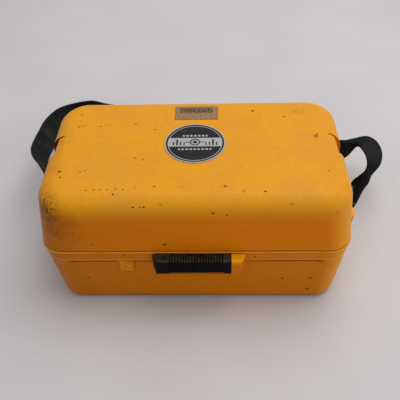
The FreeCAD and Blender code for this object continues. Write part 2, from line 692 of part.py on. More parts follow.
# ---- level: telescope --------------------------------------------------------------------
def make_telescope_housing():
    """The cast housing, open at the top, with seats for the barrels and shafts."""
    centre = (LEVEL_X, LEVEL_Y)
    z_low, z_high = HOUSING_Z
    skirt = level_rod(40.0, z_low, 62.0)
    body = drafted_block(shrink(HOUSING_HALF, 2.0), HOUSING_HALF, 60.0, z_high, centre)
    wall = HOUSING_WALL
    cavity = drafted_block(shrink(HOUSING_HALF, 2.0 + wall), shrink(HOUSING_HALF, wall), 64.0, z_high, centre)
    housing = skirt.fuse(body).cut(cavity)
    objective_hole = rod(20.0, (LEVEL_X + 55, LEVEL_Y, SIGHT_Z), 30, ALONG_X)
    eyepiece_hole = rod(12.0, (LEVEL_X - 80, LEVEL_Y, SIGHT_Z), 30, ALONG_X)
    x, z = FOCUS_AXIS
    focus_hole = rod(3.5 + RUN_GAP, (x, LEVEL_Y - 40, z), 20, ALONG_Y)
    x, z = TANGENT_AXIS
    tangent_hole = rod(3.0 + RUN_GAP, (x, LEVEL_Y - 60, z), 120, ALONG_Y)
    for hole in (objective_hole, eyepiece_hole, focus_hole, tangent_hole):
        housing = housing.cut(hole)
    return housing.removeSplitter()



def cover_screw_places():
    """The four cover screws' places."""
    return [(LEVEL_X + sx * 54.0, LEVEL_Y + sy * 22.0) for sx in (-1, 1) for sy in (-1, 1)]


def make_housing_cover():
    """The cover on the housing, rounded at its top edge."""
    block = drafted_block(HOUSING_HALF, shrink(HOUSING_HALF, 1.0), *COVER_Z, (LEVEL_X, LEVEL_Y))
    block = round_edges_at(block, COVER_Z[1], 5.0)
    for x, y in cover_screw_places():
        block = block.cut(rod(1.6, (x, y, 126.0), 10)).cut(rod(3.2, (x, y, 132.0), 5))
    return block


def make_cover_screws():
    """Four slotted cover screws."""
    screws = []
    for x, y in cover_screw_places():
        screw = rod(3.0, (x, y, 132.1), 1.8).fuse(rod(1.4, (x, y, 127.0), 5.5))
        screws.append(screw.cut(box((x - 4, x + 4), (y - 0.4, y + 0.4), (133.3, 135))))
    return Part.makeCompound(screws)


def make_gun_sight():
    """The open sight on the cover: a rail with a notch and a post."""
    x, y = LEVEL_X + 22.0, LEVEL_Y
    z = COVER_Z[1]
    rail = box((x - 20, x + 20), (y - 4, y + 4), (z + 0.05, z + 3.0))
    notch = box((x - 20, x - 17), (y - 4, y + 4), (z + 2, z + 7))
    notch = notch.cut(box((x - 25, x - 15), (y - 1.2, y + 1.2), (z + 4, z + 9)))
    post = box((x + 17, x + 19), (y - 0.8, y + 0.8), (z + 2, z + 6.5))
    return fuse_all([rail, notch, post])


def make_objective_barrel():
    """The objective's barrel: a flange on the housing and a flared hood."""
    x = LEVEL_X + HOUSING_HALF[0] + 0.1
    flange = rod(24.0, (x, LEVEL_Y, SIGHT_Z), 8, ALONG_X)
    hood = rod(27.0, (x + 7, LEVEL_Y, SIGHT_Z), 28, ALONG_X)
    seat = rod(21.0, (x + 20, LEVEL_Y, SIGHT_Z), 20, ALONG_X)
    bore = rod(18.6, (x - 1, LEVEL_Y, SIGHT_Z), 60, ALONG_X)
    return flange.fuse(hood).cut(bore).cut(seat).removeSplitter()


def lens(radius, thick, bulge, centre):
    """A lens on the sight axis: a disc between two spherical caps."""
    x, y, z = centre
    ball_r = (radius * radius + bulge * bulge) / (2 * bulge)
    disc = rod(radius, (x - thick / 2 - bulge, y, z), thick + 2 * bulge, ALONG_X)
    reach = thick / 2 + bulge - ball_r
    left = Part.makeSphere(ball_r, Vector(x - reach, y, z))
    right = Part.makeSphere(ball_r, Vector(x + reach, y, z))
    return disc.common(left).common(right)


def make_objective_lens():
    """The front lens, seated in the barrel."""
    return lens(20.9, 3.0, 1.5, (LEVEL_X + HOUSING_HALF[0] + 25.0, LEVEL_Y, SIGHT_Z))


def make_eyepiece_barrel():
    """The eyepiece's fixed barrel, stepped down for the focusing ring."""
    x = LEVEL_X - HOUSING_HALF[0] - 0.1
    flange = rod(15.0, (x - 10, LEVEL_Y, SIGHT_Z), 10, ALONG_X)
    neck = rod(10.0, (x - 22, LEVEL_Y, SIGHT_Z), 14, ALONG_X)
    bore = rod(7.0, (x - 30, LEVEL_Y, SIGHT_Z), 40, ALONG_X)
    seat = rod(8.2, (x - 4, LEVEL_Y, SIGHT_Z), 10, ALONG_X)
    return flange.fuse(neck).cut(bore).cut(seat).removeSplitter()


def make_eyepiece_ring():
    """The eyepiece's dioptre ring, turned by hand on the neck."""
    x = LEVEL_X - HOUSING_HALF[0] - 10.5
    start = (x - 17, LEVEL_Y, SIGHT_Z)
    ring = fluted_disc(13.0, start, 17, 24, 1.0, ALONG_X)
    bore = rod(10.0 + RUN_GAP, (x - 13, LEVEL_Y, SIGHT_Z), 20, ALONG_X)
    window = rod(7.0, (x - 20, LEVEL_Y, SIGHT_Z), 20, ALONG_X)
    return ring.cut(bore).cut(window)


def make_eyepiece_lens():
    """The eye lens, held in the ring."""
    return lens(6.9, 1.5, 0.8, (LEVEL_X - HOUSING_HALF[0] - 25.0, LEVEL_Y, SIGHT_Z))


def make_reticle_glass():
    """The thin glass disc that carries the cross hairs."""
    return rod(8.1, (LEVEL_X - HOUSING_HALF[0] - 3.9, LEVEL_Y, SIGHT_Z), 1.5, ALONG_X)


def make_focusing_tube():
    """The tube that the focusing cell slides in, with a slot below."""
    start = (LEVEL_X + 6, LEVEL_Y, SIGHT_Z)
    pipe = tube(17.6, 15.0 + RUN_GAP, start, 58, ALONG_X)
    slot_x = (LEVEL_X + 12, LEVEL_X + 58)
    foot = box(slot_x, (LEVEL_Y - 8, LEVEL_Y + 8), (64.2, SIGHT_Z - 16.4))
    return fuse_all([pipe, foot])


def make_focusing_cell():
    """The ring that carries the focusing lens."""
    start = (LEVEL_X + 24, LEVEL_Y, SIGHT_Z)
    return tube(15.0, 12.0, start, 16, ALONG_X)


def make_focusing_lens():
    """The focusing lens."""
    return lens(11.9, 2.0, 1.0, (LEVEL_X + 32, LEVEL_Y, SIGHT_Z))


def make_focus_knob():
    """The focusing knob on its shaft."""
    x, z = FOCUS_AXIS
    wall_y = LEVEL_Y - HOUSING_HALF[1]
    knob = fluted_disc(15.0, (x, wall_y - 14.4, z), 14.0, 30, 1.1, ALONG_Y)
    shaft = rod(3.5, (x, wall_y - 4, z), 16.0, ALONG_Y)
    return fuse_all([knob, shaft])


def make_tangent_screw():
    """The endless tangent screw: one shaft with a knob at each side."""
    x, z = TANGENT_AXIS
    half = HOUSING_HALF[1]
    shaft = rod(3.0, (x, LEVEL_Y - half - 8, z), 2 * half + 16, ALONG_Y)
    near = fluted_disc(9.0, (x, LEVEL_Y - half - 12.4, z), 12.0, 18, 1.0, ALONG_Y)
    far = fluted_disc(9.0, (x, LEVEL_Y + half + 0.4, z), 12.0, 18, 1.0, ALONG_Y)
    return fuse_all([shaft, near, far])


# ---- level: compensator and bubble -------------------------------------------------------


def make_compensator_frame():
    """A frame on the housing's floor, with a crosspiece that the pendulum hangs from."""
    x, z = PENDULUM_PIVOT
    posts = []
    for side in (-1, 1):
        y = LEVEL_Y + side * 20.0
        posts.append(box((x - 5, x + 5), (y - 2, y + 2), (64.2, z + 2)))
    floor = box((x - 12, x + 12), (LEVEL_Y - 22, LEVEL_Y + 22), (64.2, 67.2))
    bar = rod(1.2, (x, LEVEL_Y - 19, z), 38, ALONG_Y)
    return fuse_all(posts + [floor, bar])


def make_compensator_prism():
    """The pendulum: a hanger on the crosspiece and the prism it carries."""
    x, z = PENDULUM_PIVOT
    y = LEVEL_Y
    eye = rod(3.0, (x, y - 9, z), 18, ALONG_Y)
    stem = box((x - 1.5, x + 1.5), (y - 9, y + 9), (z - 14, z))
    corners = [Vector(x + dx, y - 9, SIGHT_Z + dz) for dx, dz in ((-11, 11), (11, 11), (5, -9), (-5, -9))]
    prism = Part.Face(Part.makePolygon(corners + corners[:1])).extrude(Vector(0, 18, 0))
    bore = rod(1.2 + RUN_GAP, (x, y - 15, z), 30, ALONG_Y)
    return fuse_all([eye, stem, prism]).cut(bore)



def make_vial_housing():
    """The round bubble's cup on a bracket from the housing's side."""
    x, y = VIAL
    z_low, z_high = VIAL_Z
    cup = rod(10.0, (x, y, z_low), z_high - z_low)
    bracket = box((x - 6, x + 6), (y, LEVEL_Y - HOUSING_HALF[1] - 0.1), (z_low, z_low + 4))
    ears = []
    hinge_y, hinge_z = MIRROR_HINGE
    for side in (-1, 1):
        ear_x = (x + side * 10.5 - 1.0, x + side * 10.5 + 1.0)
        ear_y = (hinge_y - 2.2, LEVEL_Y - HOUSING_HALF[1] - 0.1)
        ears.append(box(ear_x, ear_y, (z_low, hinge_z + 2.0)))
        ears.append(box((min(x, ear_x[0]), max(x, ear_x[1])), ear_y, (z_low, z_low + 4)))
    pin_hole = rod(0.8 + RUN_GAP, (x - 20, hinge_y, hinge_z), 40, ALONG_X)
    cut = rod(8.0, (x, y, z_low + 3), 20)
    return fuse_all([cup, bracket] + ears).cut(cut).cut(pin_hole)


def make_vial_glass():
    """The bubble's glass, a disc with a domed top."""
    x, y = VIAL
    disc = rod(7.9, (x, y, VIAL_Z[0] + 3.1), 6.4)
    dome = Part.makeSphere(40.0, Vector(x, y, VIAL_Z[0] + 9.5 - 40.0))
    return disc.common(dome)


def make_vial_mirror():
    """The folding mirror over the bubble, closed, with its own pins."""
    x = VIAL[0]
    y, z = MIRROR_HINGE
    plate = box((x - 9.2, x + 9.2), (y - 19.0, y), (z - 1.0, z + 1.0))
    pin = rod(0.8, (x - 11.4, y, z), 22.8, ALONG_X)
    barrel = rod(1.4, (x - 9.2, y, z), 18.4, ALONG_X)
    return fuse_all([plate, barrel, pin])


# ---- writing the parts -------------------------------------------------------------------
def all_parts():
    """Every node by name."""
    parts = {
        "base_shell": make_base_shell(),
        "lid_shell": make_lid_shell(),
        "hinge_pin_left": make_hinge_pin(-1),
        "hinge_pin_right": make_hinge_pin(1),
        "latch_right": make_latch(),
        "latch_left": mirror_x(make_latch()),
        "latch_pin_right": make_latch_pin(),
        "latch_pin_left": mirror_x(make_latch_pin()),
        "handle_bar": make_handle_bar(),
        "grip_sleeve": make_grip_sleeve(),
        "handle_guides": make_handle_guides(),
        "badge_plate": make_badge_plate(),
        "label_plate": make_label_plate(),
        "shoulder_strap": make_shoulder_strap(),
        "instrument_cradle": make_instrument_cradle(),
        "lid_pad": make_lid_pad(),
        "plumb_bob": make_plumb_bob(),
        "adjusting_pin": make_adjusting_pin(),
        "hex_wrench": make_hex_wrench(),
        "base_plate": make_base_plate(),
        "levelling_head": make_levelling_head(),
        "circle_ring": make_circle_ring(),
        "telescope_housing": make_telescope_housing(),
        "housing_cover": make_housing_cover(),
        "cover_screws": make_cover_screws(),
        "gun_sight": make_gun_sight(),
        "objective_barrel": make_objective_barrel(),
        "objective_lens": make_objective_lens(),
        "eyepiece_barrel": make_eyepiece_barrel(),
        "eyepiece_ring": make_eyepiece_ring(),
        "eyepiece_lens": make_eyepiece_lens(),
        "reticle_glass": make_reticle_glass(),
        "focusing_tube": make_focusing_tube(),
        "focusing_cell": make_focusing_cell(),
        "focusing_lens": make_focusing_lens(),
        "focus_knob": make_focus_knob(),
        "tangent_screw": make_tangent_screw(),
        "compensator_frame": make_compensator_frame(),
        "compensator_prism": make_compensator_prism(),
        "vial_housing": make_vial_housing(),
        "vial_glass": make_vial_glass(),
        "vial_mirror": make_vial_mirror(),
    }
    for name, place in zip("abc", foot_places()):
        parts["foot_screw_" + name] = make_foot_screw(place)
    return parts


def main():
    """Write one STEP file for each node."""
    os.makedirs("parts", exist_ok=True)
    for name, shape in all_parts().items():
        shape.exportStep("parts/" + name + ".step")
        print(name, "solids", len(shape.Solids), "volume", round(shape.Volume), "valid", shape.isValid())


main()
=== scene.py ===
"""Looks of the automatic level's carrying case: materials, strap, foam, floor, light and camera."""

import math

import bpy
from mathutils import Matrix, Vector


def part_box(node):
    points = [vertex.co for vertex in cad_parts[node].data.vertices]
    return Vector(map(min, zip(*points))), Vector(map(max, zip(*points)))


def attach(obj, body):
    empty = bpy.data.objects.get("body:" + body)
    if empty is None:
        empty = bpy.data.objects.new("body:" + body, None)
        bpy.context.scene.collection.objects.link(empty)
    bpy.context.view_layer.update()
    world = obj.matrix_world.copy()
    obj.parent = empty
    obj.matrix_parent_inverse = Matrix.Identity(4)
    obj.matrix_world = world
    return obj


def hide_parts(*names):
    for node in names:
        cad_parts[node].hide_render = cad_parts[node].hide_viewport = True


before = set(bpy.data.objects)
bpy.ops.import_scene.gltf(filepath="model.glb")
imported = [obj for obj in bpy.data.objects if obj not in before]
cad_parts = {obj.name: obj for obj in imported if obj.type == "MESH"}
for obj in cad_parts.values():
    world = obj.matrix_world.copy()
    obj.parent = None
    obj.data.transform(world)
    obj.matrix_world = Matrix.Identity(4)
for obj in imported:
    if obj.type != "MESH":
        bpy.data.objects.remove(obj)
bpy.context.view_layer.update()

MM = 0.001


# ---- shader building ---------------------------------------------------------------------
class Shader:
    """A material's node tree, built by short calls round one Principled shader."""

    def __init__(self, name, color=(0.5, 0.5, 0.5), roughness=0.5, **sockets):
        self.material = bpy.data.materials.new(name)
        self.material.use_nodes = True
        self.tree = self.material.node_tree
        self.bsdf = self.tree.nodes["Principled BSDF"]
        self.set("Base Color", (*color, 1.0))
        self.set("Roughness", roughness)
        for socket, value in sockets.items():
            self.set(socket.replace("_", " "), value)

    def set(self, socket, value):
        """Give one of the shader's sockets a value or a link."""
        self.plug(self.bsdf.inputs[socket], value)

    def plug(self, socket, value):
        """Link a socket, or set its value."""
        if isinstance(value, bpy.types.NodeSocket):
            self.tree.links.new(value, socket)
        else:
            socket.default_value = value

    def node(self, kind, inputs=(), **settings):
        """A new node with its settings and inputs."""
        made = self.tree.nodes.new("ShaderNode" + kind)
        for key, value in settings.items():
            setattr(made, key, value)
        for key, value in dict(inputs).items():
            self.plug(made.inputs[key], value)
        return made

    def math(self, operation, first, second=0.0, third=0.0):
        """A math node's result."""
        return self.node("Math", {0: first, 1: second, 2: third}, operation=operation).outputs[0]

    def times(self, first, *others):
        """The product of some values."""
        for other in others:
            first = self.math("MULTIPLY", first, other)
        return first

    def off(self, value, middle):
        """How far a value is from a middle, either way."""
        return self.math("ABSOLUTE", self.math("SUBTRACT", value, middle))

    def within(self, value, middle, half, soft=0.12):
        """1 where a value is no further than half from a middle, 0 elsewhere."""
        return self.step(self.off(value, middle), half + soft, half - soft)

    def vector(self, operation, first, second=(0, 0, 0), third=(0, 0, 0)):
        """A vector math node's result."""
        made = self.node("VectorMath", {0: first, 1: second, 2: third}, operation=operation)
        return made.outputs["Value" if operation == "LENGTH" else "Vector"]

    def place(self):
        """The object's own coordinates, in millimetres."""
        at = self.node("TexCoord").outputs["Object"]
        return self.vector("MULTIPLY", at, (1000, 1000, 1000))

    def split(self, at):
        """The x, y and z of a vector."""
        return self.node("SeparateXYZ", {0: at}).outputs[:3]

    def noise(self, at, size, stretch=(1, 1, 1), detail=3.0, rough=0.55):
        """Noise from 0 to 1 whose blobs are about size long."""
        scaled = self.vector("DIVIDE", at, tuple(size * s for s in stretch))
        inputs = {"Vector": scaled, "Scale": 1.0, "Detail": detail, "Roughness": rough}
        return self.node("TexNoise", inputs).outputs["Fac"]

    def step(self, value, low, high, to_low=0.0, to_high=1.0):
        """A smooth step between two values."""
        made = self.node("MapRange", interpolation_type="SMOOTHSTEP")
        for key, given in zip(range(5), (value, low, high, to_low, to_high)):
            self.plug(made.inputs[key], given)
        return made.outputs[0]

    def mix(self, share, first, second):
        """A mix of two colours."""
        made = self.node("Mix", data_type="RGBA")
        colors = [c if isinstance(c, bpy.types.NodeSocket) else (*c, 1.0) for c in (first, second)]
        self.plug(made.inputs[0], share)
        self.plug(made.inputs[6], colors[0])
        self.plug(made.inputs[7], colors[1])
        return made.outputs[2]

    def bump(self, height, distance, strength=1.0):
        """Bump the surface by a height."""
        inputs = {"Height": height, "Distance": distance * MM, "Strength": strength}
        self.set("Normal", self.node("Bump", inputs).outputs[0])

    def marks(self, at, marks):
        """How strongly a list of marks covers each point: middles, half sizes and strength."""
        total = 0.0
        for x, y, z, half_x, half_y, half_z, strength in marks:
            inverse = (1 / half_x, 1 / half_y, 1 / half_z)
            offset = (-x / half_x, -y / half_y, -z / half_z)
            away = self.vector("LENGTH", self.vector("MULTIPLY_ADD", at, inverse, offset))
            weight = self.math("MULTIPLY_ADD", away, -strength, strength)
            total = self.math("MAXIMUM", weight, total)
        return total


# ---- case plastic ------------------------------------------------------------------------
# Each mark is its middle, its half sizes (mm) and how much of it is dark.
LID_MARKS = [
    (-136, 34, 158, 3, 2, 5, 0.6), (-132, 36, 158, 3, 1.8, 5, 0.62), (-128, 38, 158, 2.4, 1.6, 5, 0.56),
    (-134, 28, 158, 5, 2.4, 5, 0.44), (-105, 37, 158, 2, 1.6, 5, 0.62),
    (-100, 38, 158, 1.8, 1.6, 5, 0.58), (-111, 35, 158, 1.8, 1.8, 4, 0.75),
    (-137, 58, 158, 2.2, 2.2, 4, 0.75), (-70, 39, 158, 9, 2.5, 5, 0.42), (-47, 28, 158, 4, 2, 5, 0.5),
    (-121, -44, 158, 2.4, 1.5, 5, 0.66), (-116, -42, 158, 3, 1.5, 5, 0.66),
    (-143, -43, 158, 5, 4, 5, 0.5), (-141, -52, 158, 2, 3, 5, 0.6), (-65, -22, 158, 3, 1.6, 5, 0.7),
    (-56, -25, 158, 1.6, 2, 5, 0.66), (-81, -5, 158, 1.8, 1.8, 5, 0.5),
    (-110, -72, 158, 3, 1.4, 4, 0.62), (-102, -71, 158, 2, 1.4, 4, 0.6),
    (-96, -71, 158, 3.4, 1.4, 4, 0.62), (-88, -71, 158, 2.4, 1.4, 4, 0.6),
    (-80, -70, 158, 3, 1.4, 4, 0.62), (-72, -71, 158, 2, 1.4, 4, 0.58), (-60, -68, 158, 2, 2, 5, 0.56),
    (-40, -67, 158, 5, 2, 5, 0.45), (-12, -68, 158, 10, 2, 5, 0.42), (-82, -77, 157, 1.8, 1.8, 4, 0.66),
    (67, 62, 158, 2.8, 2.4, 5, 0.85), (74, 56, 158, 3, 2.6, 5, 0.45), (103, 50, 158, 2.6, 1.8, 5, 0.76),
    (135, 13, 158, 10, 14, 5, 0.42), (137, 16, 158, 2.4, 2, 5, 0.75), (141, -45, 158, 3, 2.4, 5, 0.5),
    (33, -67, 158, 7, 5, 5, 0.47), (51, -75, 157, 5, 7, 5, 0.42), (73, -75, 157, 2.3, 1.6, 5, 0.78),
    (127, -62, 158, 4, 2, 5, 0.45), (-140, -88, 143, 5, 4, 5, 0.46), (-61, -88, 149, 3.4, 4, 1.4, 0.6),
    (-54, -88, 149, 1.4, 4, 1.2, 0.62), (-50, -88, 149, 3, 4, 1.4, 0.6),
    (-33, -87, 151, 3, 4, 1.8, 0.5), (99, -87, 151, 6, 5, 4, 0.43), (20, -91, 143, 5, 4, 2, 0.53),
    (34, -92, 141, 2.4, 4, 2, 0.7), (-117, -96, 106, 4, 6, 3, 0.5), (-111, -96, 100, 6, 6, 3, 0.46),
    (-32, -96, 99, 4, 5, 4, 0.56), (146, -88, 140, 5, 7, 6, 0.43), (120, 60, 157, 24, 14, 6, 0.37),
    (-120, 84, 150, 20, 8, 8, 0.4), (60, 97, 120, 30, 6, 16, 0.4), (-60, 98, 104, 24, 6, 9, 0.42),
    (166, -50, 120, 6, 18, 14, 0.42), (-166, 50, 118, 6, 20, 12, 0.42),
]
BASE_MARKS = [
    (-126, -94, 38, 8, 5, 3, 0.5), (-58, -94, 29, 5, 5, 2.4, 0.48), (-45, -94, 45, 4, 5, 2.4, 0.6),
    (-78, -96, 83, 2.4, 5, 2, 0.62), (98, -94, 36, 2.6, 5, 2, 0.8), (130, -94, 37, 7, 5, 2.4, 0.56),
    (129, -94, 15, 5, 6, 5, 0.6), (65, -96, 80, 2.2, 5, 2, 0.76), (90, -94, 16, 3, 5, 2.4, 0.48),
    (-156, -88, 5, 7, 7, 5, 0.74), (150, -88, 26, 8, 10, 10, 0.38), (-158, -60, 20, 8, 22, 12, 0.42),
    (160, 40, 24, 8, 24, 12, 0.43), (-40, 95, 50, 40, 6, 14, 0.4), (90, 95, 22, 26, 6, 10, 0.43),
    (-70, -94, 7, 60, 5, 4, 0.38), (0, -108, 70, 50, 4, 3, 0.3),
]


def tone_with_painted_light(s, at, upper, lower, band):
    """The plastic's colour: lighter above a height band as painted light on top, patchy, and darker
    towards the left and lower down as painted shade.
    """
    x, _, z = s.split(at)
    # Painted light: above the height band the colour turns to the lighter, yellower upper one.
    height = s.step(z, band[0], band[1])
    color = s.mix(height, lower, upper)
    broad = s.step(s.noise(at, 55, detail=4), 0.35, 0.68)
    patch = tuple(a * b for a, b in zip(upper, (0.92, 0.90, 2.2)))
    color = s.mix(s.times(broad, height, 0.75), color, patch)
    # Painted shade: darker towards the left end and lower down, where less light falls.
    shade = s.times(s.step(x, 70, -150), s.step(z, 148, 118, 0.0, 0.26))
    color = s.mix(shade, color, (0.40, 0.13, 0.006))
    fine = s.step(s.noise(at, 5, detail=4), 0.3, 0.75)
    color = s.mix(s.times(fine, 0.14), color, (0.55, 0.17, 0.008))
    return color, broad


def corner_grime_and_shade(s, at, color, grime_z):
    """Grime at the ends, thickest on the front left corner, where it breaks up into flecks; and painted
    shade on the left end.
    """
    x, y, z = s.split(at)
    corner = s.step(s.math("ABSOLUTE", x), 125, 170)
    side = s.step(x, 60, -120, 0.3, 1.0)
    dirt_zone = s.times(corner, s.step(y, 40, -70, 0.55, 1.0), side)
    smear = s.step(s.noise(at, 14, stretch=(1.4, 1.4, 0.8), detail=6, rough=0.65), 0.36, 0.66, 0.25, 1.0)
    dirt = s.times(dirt_zone, s.step(z, grime_z[1], grime_z[0]), smear)
    color = s.mix(s.times(dirt, 0.55), color, (0.33, 0.105, 0.007))
    # Painted shade: the left end darker, where less light falls.
    left_end_shade = s.times(s.step(x, -100, -160), s.step(z, 152, 130))
    color = s.mix(s.times(left_end_shade, 0.34), color, (0.36, 0.115, 0.008))
    wide = s.marks(at, [(-154, -86, 120, 42, 32, 44, 1.0)])
    dense = s.marks(at, [(-156, -82, 141, 26, 26, 22, 1.0)])
    color = s.mix(s.times(wide, smear, 0.9), color, (0.25, 0.080, 0.007))
    flecks = s.noise(at, 2.1, stretch=(1.3, 1, 1), detail=5, rough=0.75)
    flecks = s.math("ADD", flecks, s.math("MULTIPLY_ADD", dense, 0.15, s.times(wide, 0.05)))
    fleck_cover = s.times(s.step(flecks, 0.61, 0.67), s.step(wide, 0.02, 0.2))
    color = s.mix(s.times(fleck_cover, 0.85), color, (0.06, 0.016, 0.003))
    return color


def specks(s, at, color, marks):
    """Small specks all over, and the listed marks with their brown edges."""
    speckle = s.step(s.noise(at, 7.5, detail=5, rough=0.7), 0.66, 0.74)
    color = s.mix(s.times(speckle, 0.34), color, (0.30, 0.11, 0.012))
    grain = s.noise(at, 2.6, stretch=(1.5, 1, 1), detail=5, rough=0.72)
    cover = s.math("MULTIPLY_ADD", s.marks(at, marks), 1.5, s.times(grain, -1.0))
    dark = s.step(cover, 0.0, 0.14)
    halo = s.step(cover, -0.16, 0.10)
    color = s.mix(s.times(halo, 0.45), color, (0.30, 0.10, 0.010))
    color = s.mix(s.times(dark, 0.90), color, (0.045, 0.014, 0.004))
    pepper = s.step(s.noise(at, 3.0, stretch=(1.3, 1, 1), detail=3, rough=0.6), 0.685, 0.73)
    pepper = s.times(pepper, s.step(s.noise(at, 48, detail=2), 0.40, 0.60))
    color = s.mix(s.times(pepper, 0.6), color, (0.13, 0.040, 0.006))
    return color, dark


def case_plastic(name, upper, lower, band, grime_z, marks):
    """Scuffed yellow plastic: lighter above a height band as painted light, deeper below it as painted
    shade, grimy in places.
    """
    s = Shader(name, roughness=0.45, Specular_IOR_Level=0.13)
    at = s.place()
    x, _, z = s.split(at)
    color, broad = tone_with_painted_light(s, at, upper, lower, band)
    color = corner_grime_and_shade(s, at, color, grime_z)
    color, dark = specks(s, at, color, marks)
    # Painted light: the right end's upper part lighter and yellower, as lit from the right.
    lit_right_end = s.times(s.step(x, 135, 166), s.step(z, 157, 138))
    color = s.mix(s.times(lit_right_end, 0.62), color, (0.92, 0.42, 0.012))
    lines = s.noise(at, 9, stretch=(4.5, 0.14, 0.14), detail=3)
    scratch = s.step(s.off(lines, 0.5), 0.012, 0.0)
    thin = s.times(scratch, s.step(s.noise(at, 30), 0.5, 0.62))
    color = s.mix(s.times(thin, 0.16), color, (0.85, 0.50, 0.18))
    s.set("Base Color", color)
    rough = s.math("MULTIPLY_ADD", broad, 0.10, 0.38)
    rough = s.math("ADD", rough, s.times(dark, 0.3))
    s.set("Roughness", s.math("ADD", rough, s.times(thin, 0.15)))
    peel = s.times(s.noise(at, 1.3, detail=2), 0.35)
    dents = s.times(s.noise(at, 24, detail=2), 1.6)
    relief = s.math("ADD", s.math("ADD", peel, dents), s.times(dark, -0.5))
    s.bump(s.math("SUBTRACT", relief, s.times(thin, 0.5)), 0.12, 0.7)
    return s, color, at


def painted_level_line(s, color, at, heights, tone, share):
    """Paint a level line round the case, broken here and there; the lines it draws are painted shadows
    and highlights.
    """
    z = s.split(at)[2]
    low, high = heights
    inside = s.times(s.step(z, low - 0.3, low), s.step(z, high + 0.3, high))
    broken = s.step(s.noise(at, 16, stretch=(1.6, 1, 1), detail=4, rough=0.6), 0.34, 0.52, 0.35, 1.0)
    return s.mix(s.times(inside, broken, share), color, tone)


# Lit and shaded copies of each plastic colour, above and below its height band: painted light on top
# faces, painted shade on the sides; the base's pair is only a little darker towards the bottom.
LID_TOP_LIT = (0.84, 0.365, 0.016)
LID_SIDE_SHADED = (0.82, 0.225, 0.003)
BASE_UPPER = (0.76, 0.215, 0.004)
BASE_LOWER = (0.70, 0.205, 0.006)
HANDLE_TOP_LIT = (0.90, 0.38, 0.008)
HANDLE_SIDE_SHADED = (0.72, 0.20, 0.004)

# Level lines round the case, painted shadows and highlights: their heights (mm), colour and strength.
LID_EDGE_SHADOW = ((88.0, 89.9), (0.16, 0.05, 0.004), 0.75)
LEDGE_HIGHLIGHT = ((86.9, 88.3), (0.98, 0.46, 0.08), 0.65)
BAND_EDGE_HIGHLIGHT = ((73.0, 75.2), (0.92, 0.36, 0.03), 0.4)
PANEL_EDGE_SHADOW = ((68.4, 73.1), (0.20, 0.055, 0.002), 0.8)

# The torn lug stub on the base's front: its middle, top and half width, and two ribs under it.
STUB_X = -77.2
STUB_TOP = 73.0
STUB_HALF = 9.2
RIBS_X = (-84.5, -72.1)


def lid_plastic():
    """The lid's plastic: painted light on top, a painted shadow line along its lower edge and painted
    shade on the end recesses' walls.
    """
    s, color, at = case_plastic("lid_plastic", LID_TOP_LIT, LID_SIDE_SHADED, (128, 153), (150, 90), LID_MARKS)
    # Painted shadow: a dark line along the lid's lower edge.
    color = painted_level_line(s, color, at, *LID_EDGE_SHADOW)
    x, y, _ = s.split(at)
    at_end = s.step(s.math("ABSOLUTE", x), 149.5, 152.5)
    # Painted shade on the end recesses' walls: dark red on the left, orange-brown on the right.
    recess_shade = s.times(s.step(y, 17.8, 18.3), s.step(y, 18.8, 18.6), at_end)
    recess_shade_color = s.mix(s.step(x, -10, 10), (0.14, 0.020, 0.001), (0.55, 0.17, 0.002))
    s.set("Base Color", s.mix(recess_shade, color, recess_shade_color))
    return s.material


def torn_stub(s, at, color):
    """The torn lug stub's pale, uneven faces."""
    x, y, z = s.split(at)
    ragged = s.times(s.noise(at, 3.0, detail=4), 1.6)
    tapered = s.math("MULTIPLY_ADD", s.math("SUBTRACT", STUB_TOP, z), 0.10, ragged)
    beyond = s.math("ADD", s.off(x, STUB_X), tapered)
    between = s.times(s.step(z, 54.0, 55.6), s.step(z, STUB_TOP + 0.6, STUB_TOP - 0.2))
    in_front = s.step(y, -94.2, -95.0)
    torn = s.times(s.step(beyond, STUB_HALF + 0.4, STUB_HALF - 0.4), between, in_front)
    facets = s.step(s.noise(at, 7, stretch=(1.3, 1, 0.9), detail=2, rough=0.5), 0.42, 0.58)
    pale = s.mix(facets, (0.74, 0.25, 0.010), (0.95, 0.44, 0.045))
    return s.mix(s.times(torn, 0.85), color, pale)


def base_plastic():
    """The base's plastic: painted highlight and shadow lines along its edges, painted shade along the
    foot, two faint ribs and the torn stub.
    """
    s, color, at = case_plastic("base_plastic", BASE_UPPER, BASE_LOWER, (10, 88), (75, 0), BASE_MARKS)
    # Painted highlights: a light line on the ledge under the lid and another on the band's lower edge.
    color = painted_level_line(s, color, at, *LEDGE_HIGHLIGHT)
    color = painted_level_line(s, color, at, *BAND_EDGE_HIGHLIGHT)
    x, y, z = s.split(at)
    # Painted shadow under the band's step, on the front panel only.
    panel = s.times(s.step(y, -88, -91), s.step(s.math("ABSOLUTE", x), 143, 136))
    color = s.mix(panel, color, painted_level_line(s, color, at, *PANEL_EDGE_SHADOW))
    # Painted shade: the base darker along its bottom edge next to the floor.
    foot_shade = s.times(s.step(z, 5.0, 2.2), 0.8)
    color = s.mix(foot_shade, color, (0.055, 0.020, 0.008))
    from_rib = s.math("MINIMUM", s.off(x, RIBS_X[0]), s.off(x, RIBS_X[1]))
    ribs = s.times(s.step(from_rib, 1.6, 0.8), s.step(z, 44, 50), s.step(z, 56, 54))
    color = s.mix(s.times(ribs, panel, 0.35), color, (0.90, 0.36, 0.03))
    s.set("Base Color", torn_stub(s, at, color))
    return s.material


def handle_plastic():
    """The handle's plastic, a brighter yellow on top from painted light."""
    marks = [(44, -108, 72, 4, 3, 3, 0.5), (46, -100, 87, 5, 4, 2, 0.42)]
    s, _, _ = case_plastic("handle_plastic", HANDLE_TOP_LIT, HANDLE_SIDE_SHADED, (80, 86), (40, 0), marks)
    return s.material


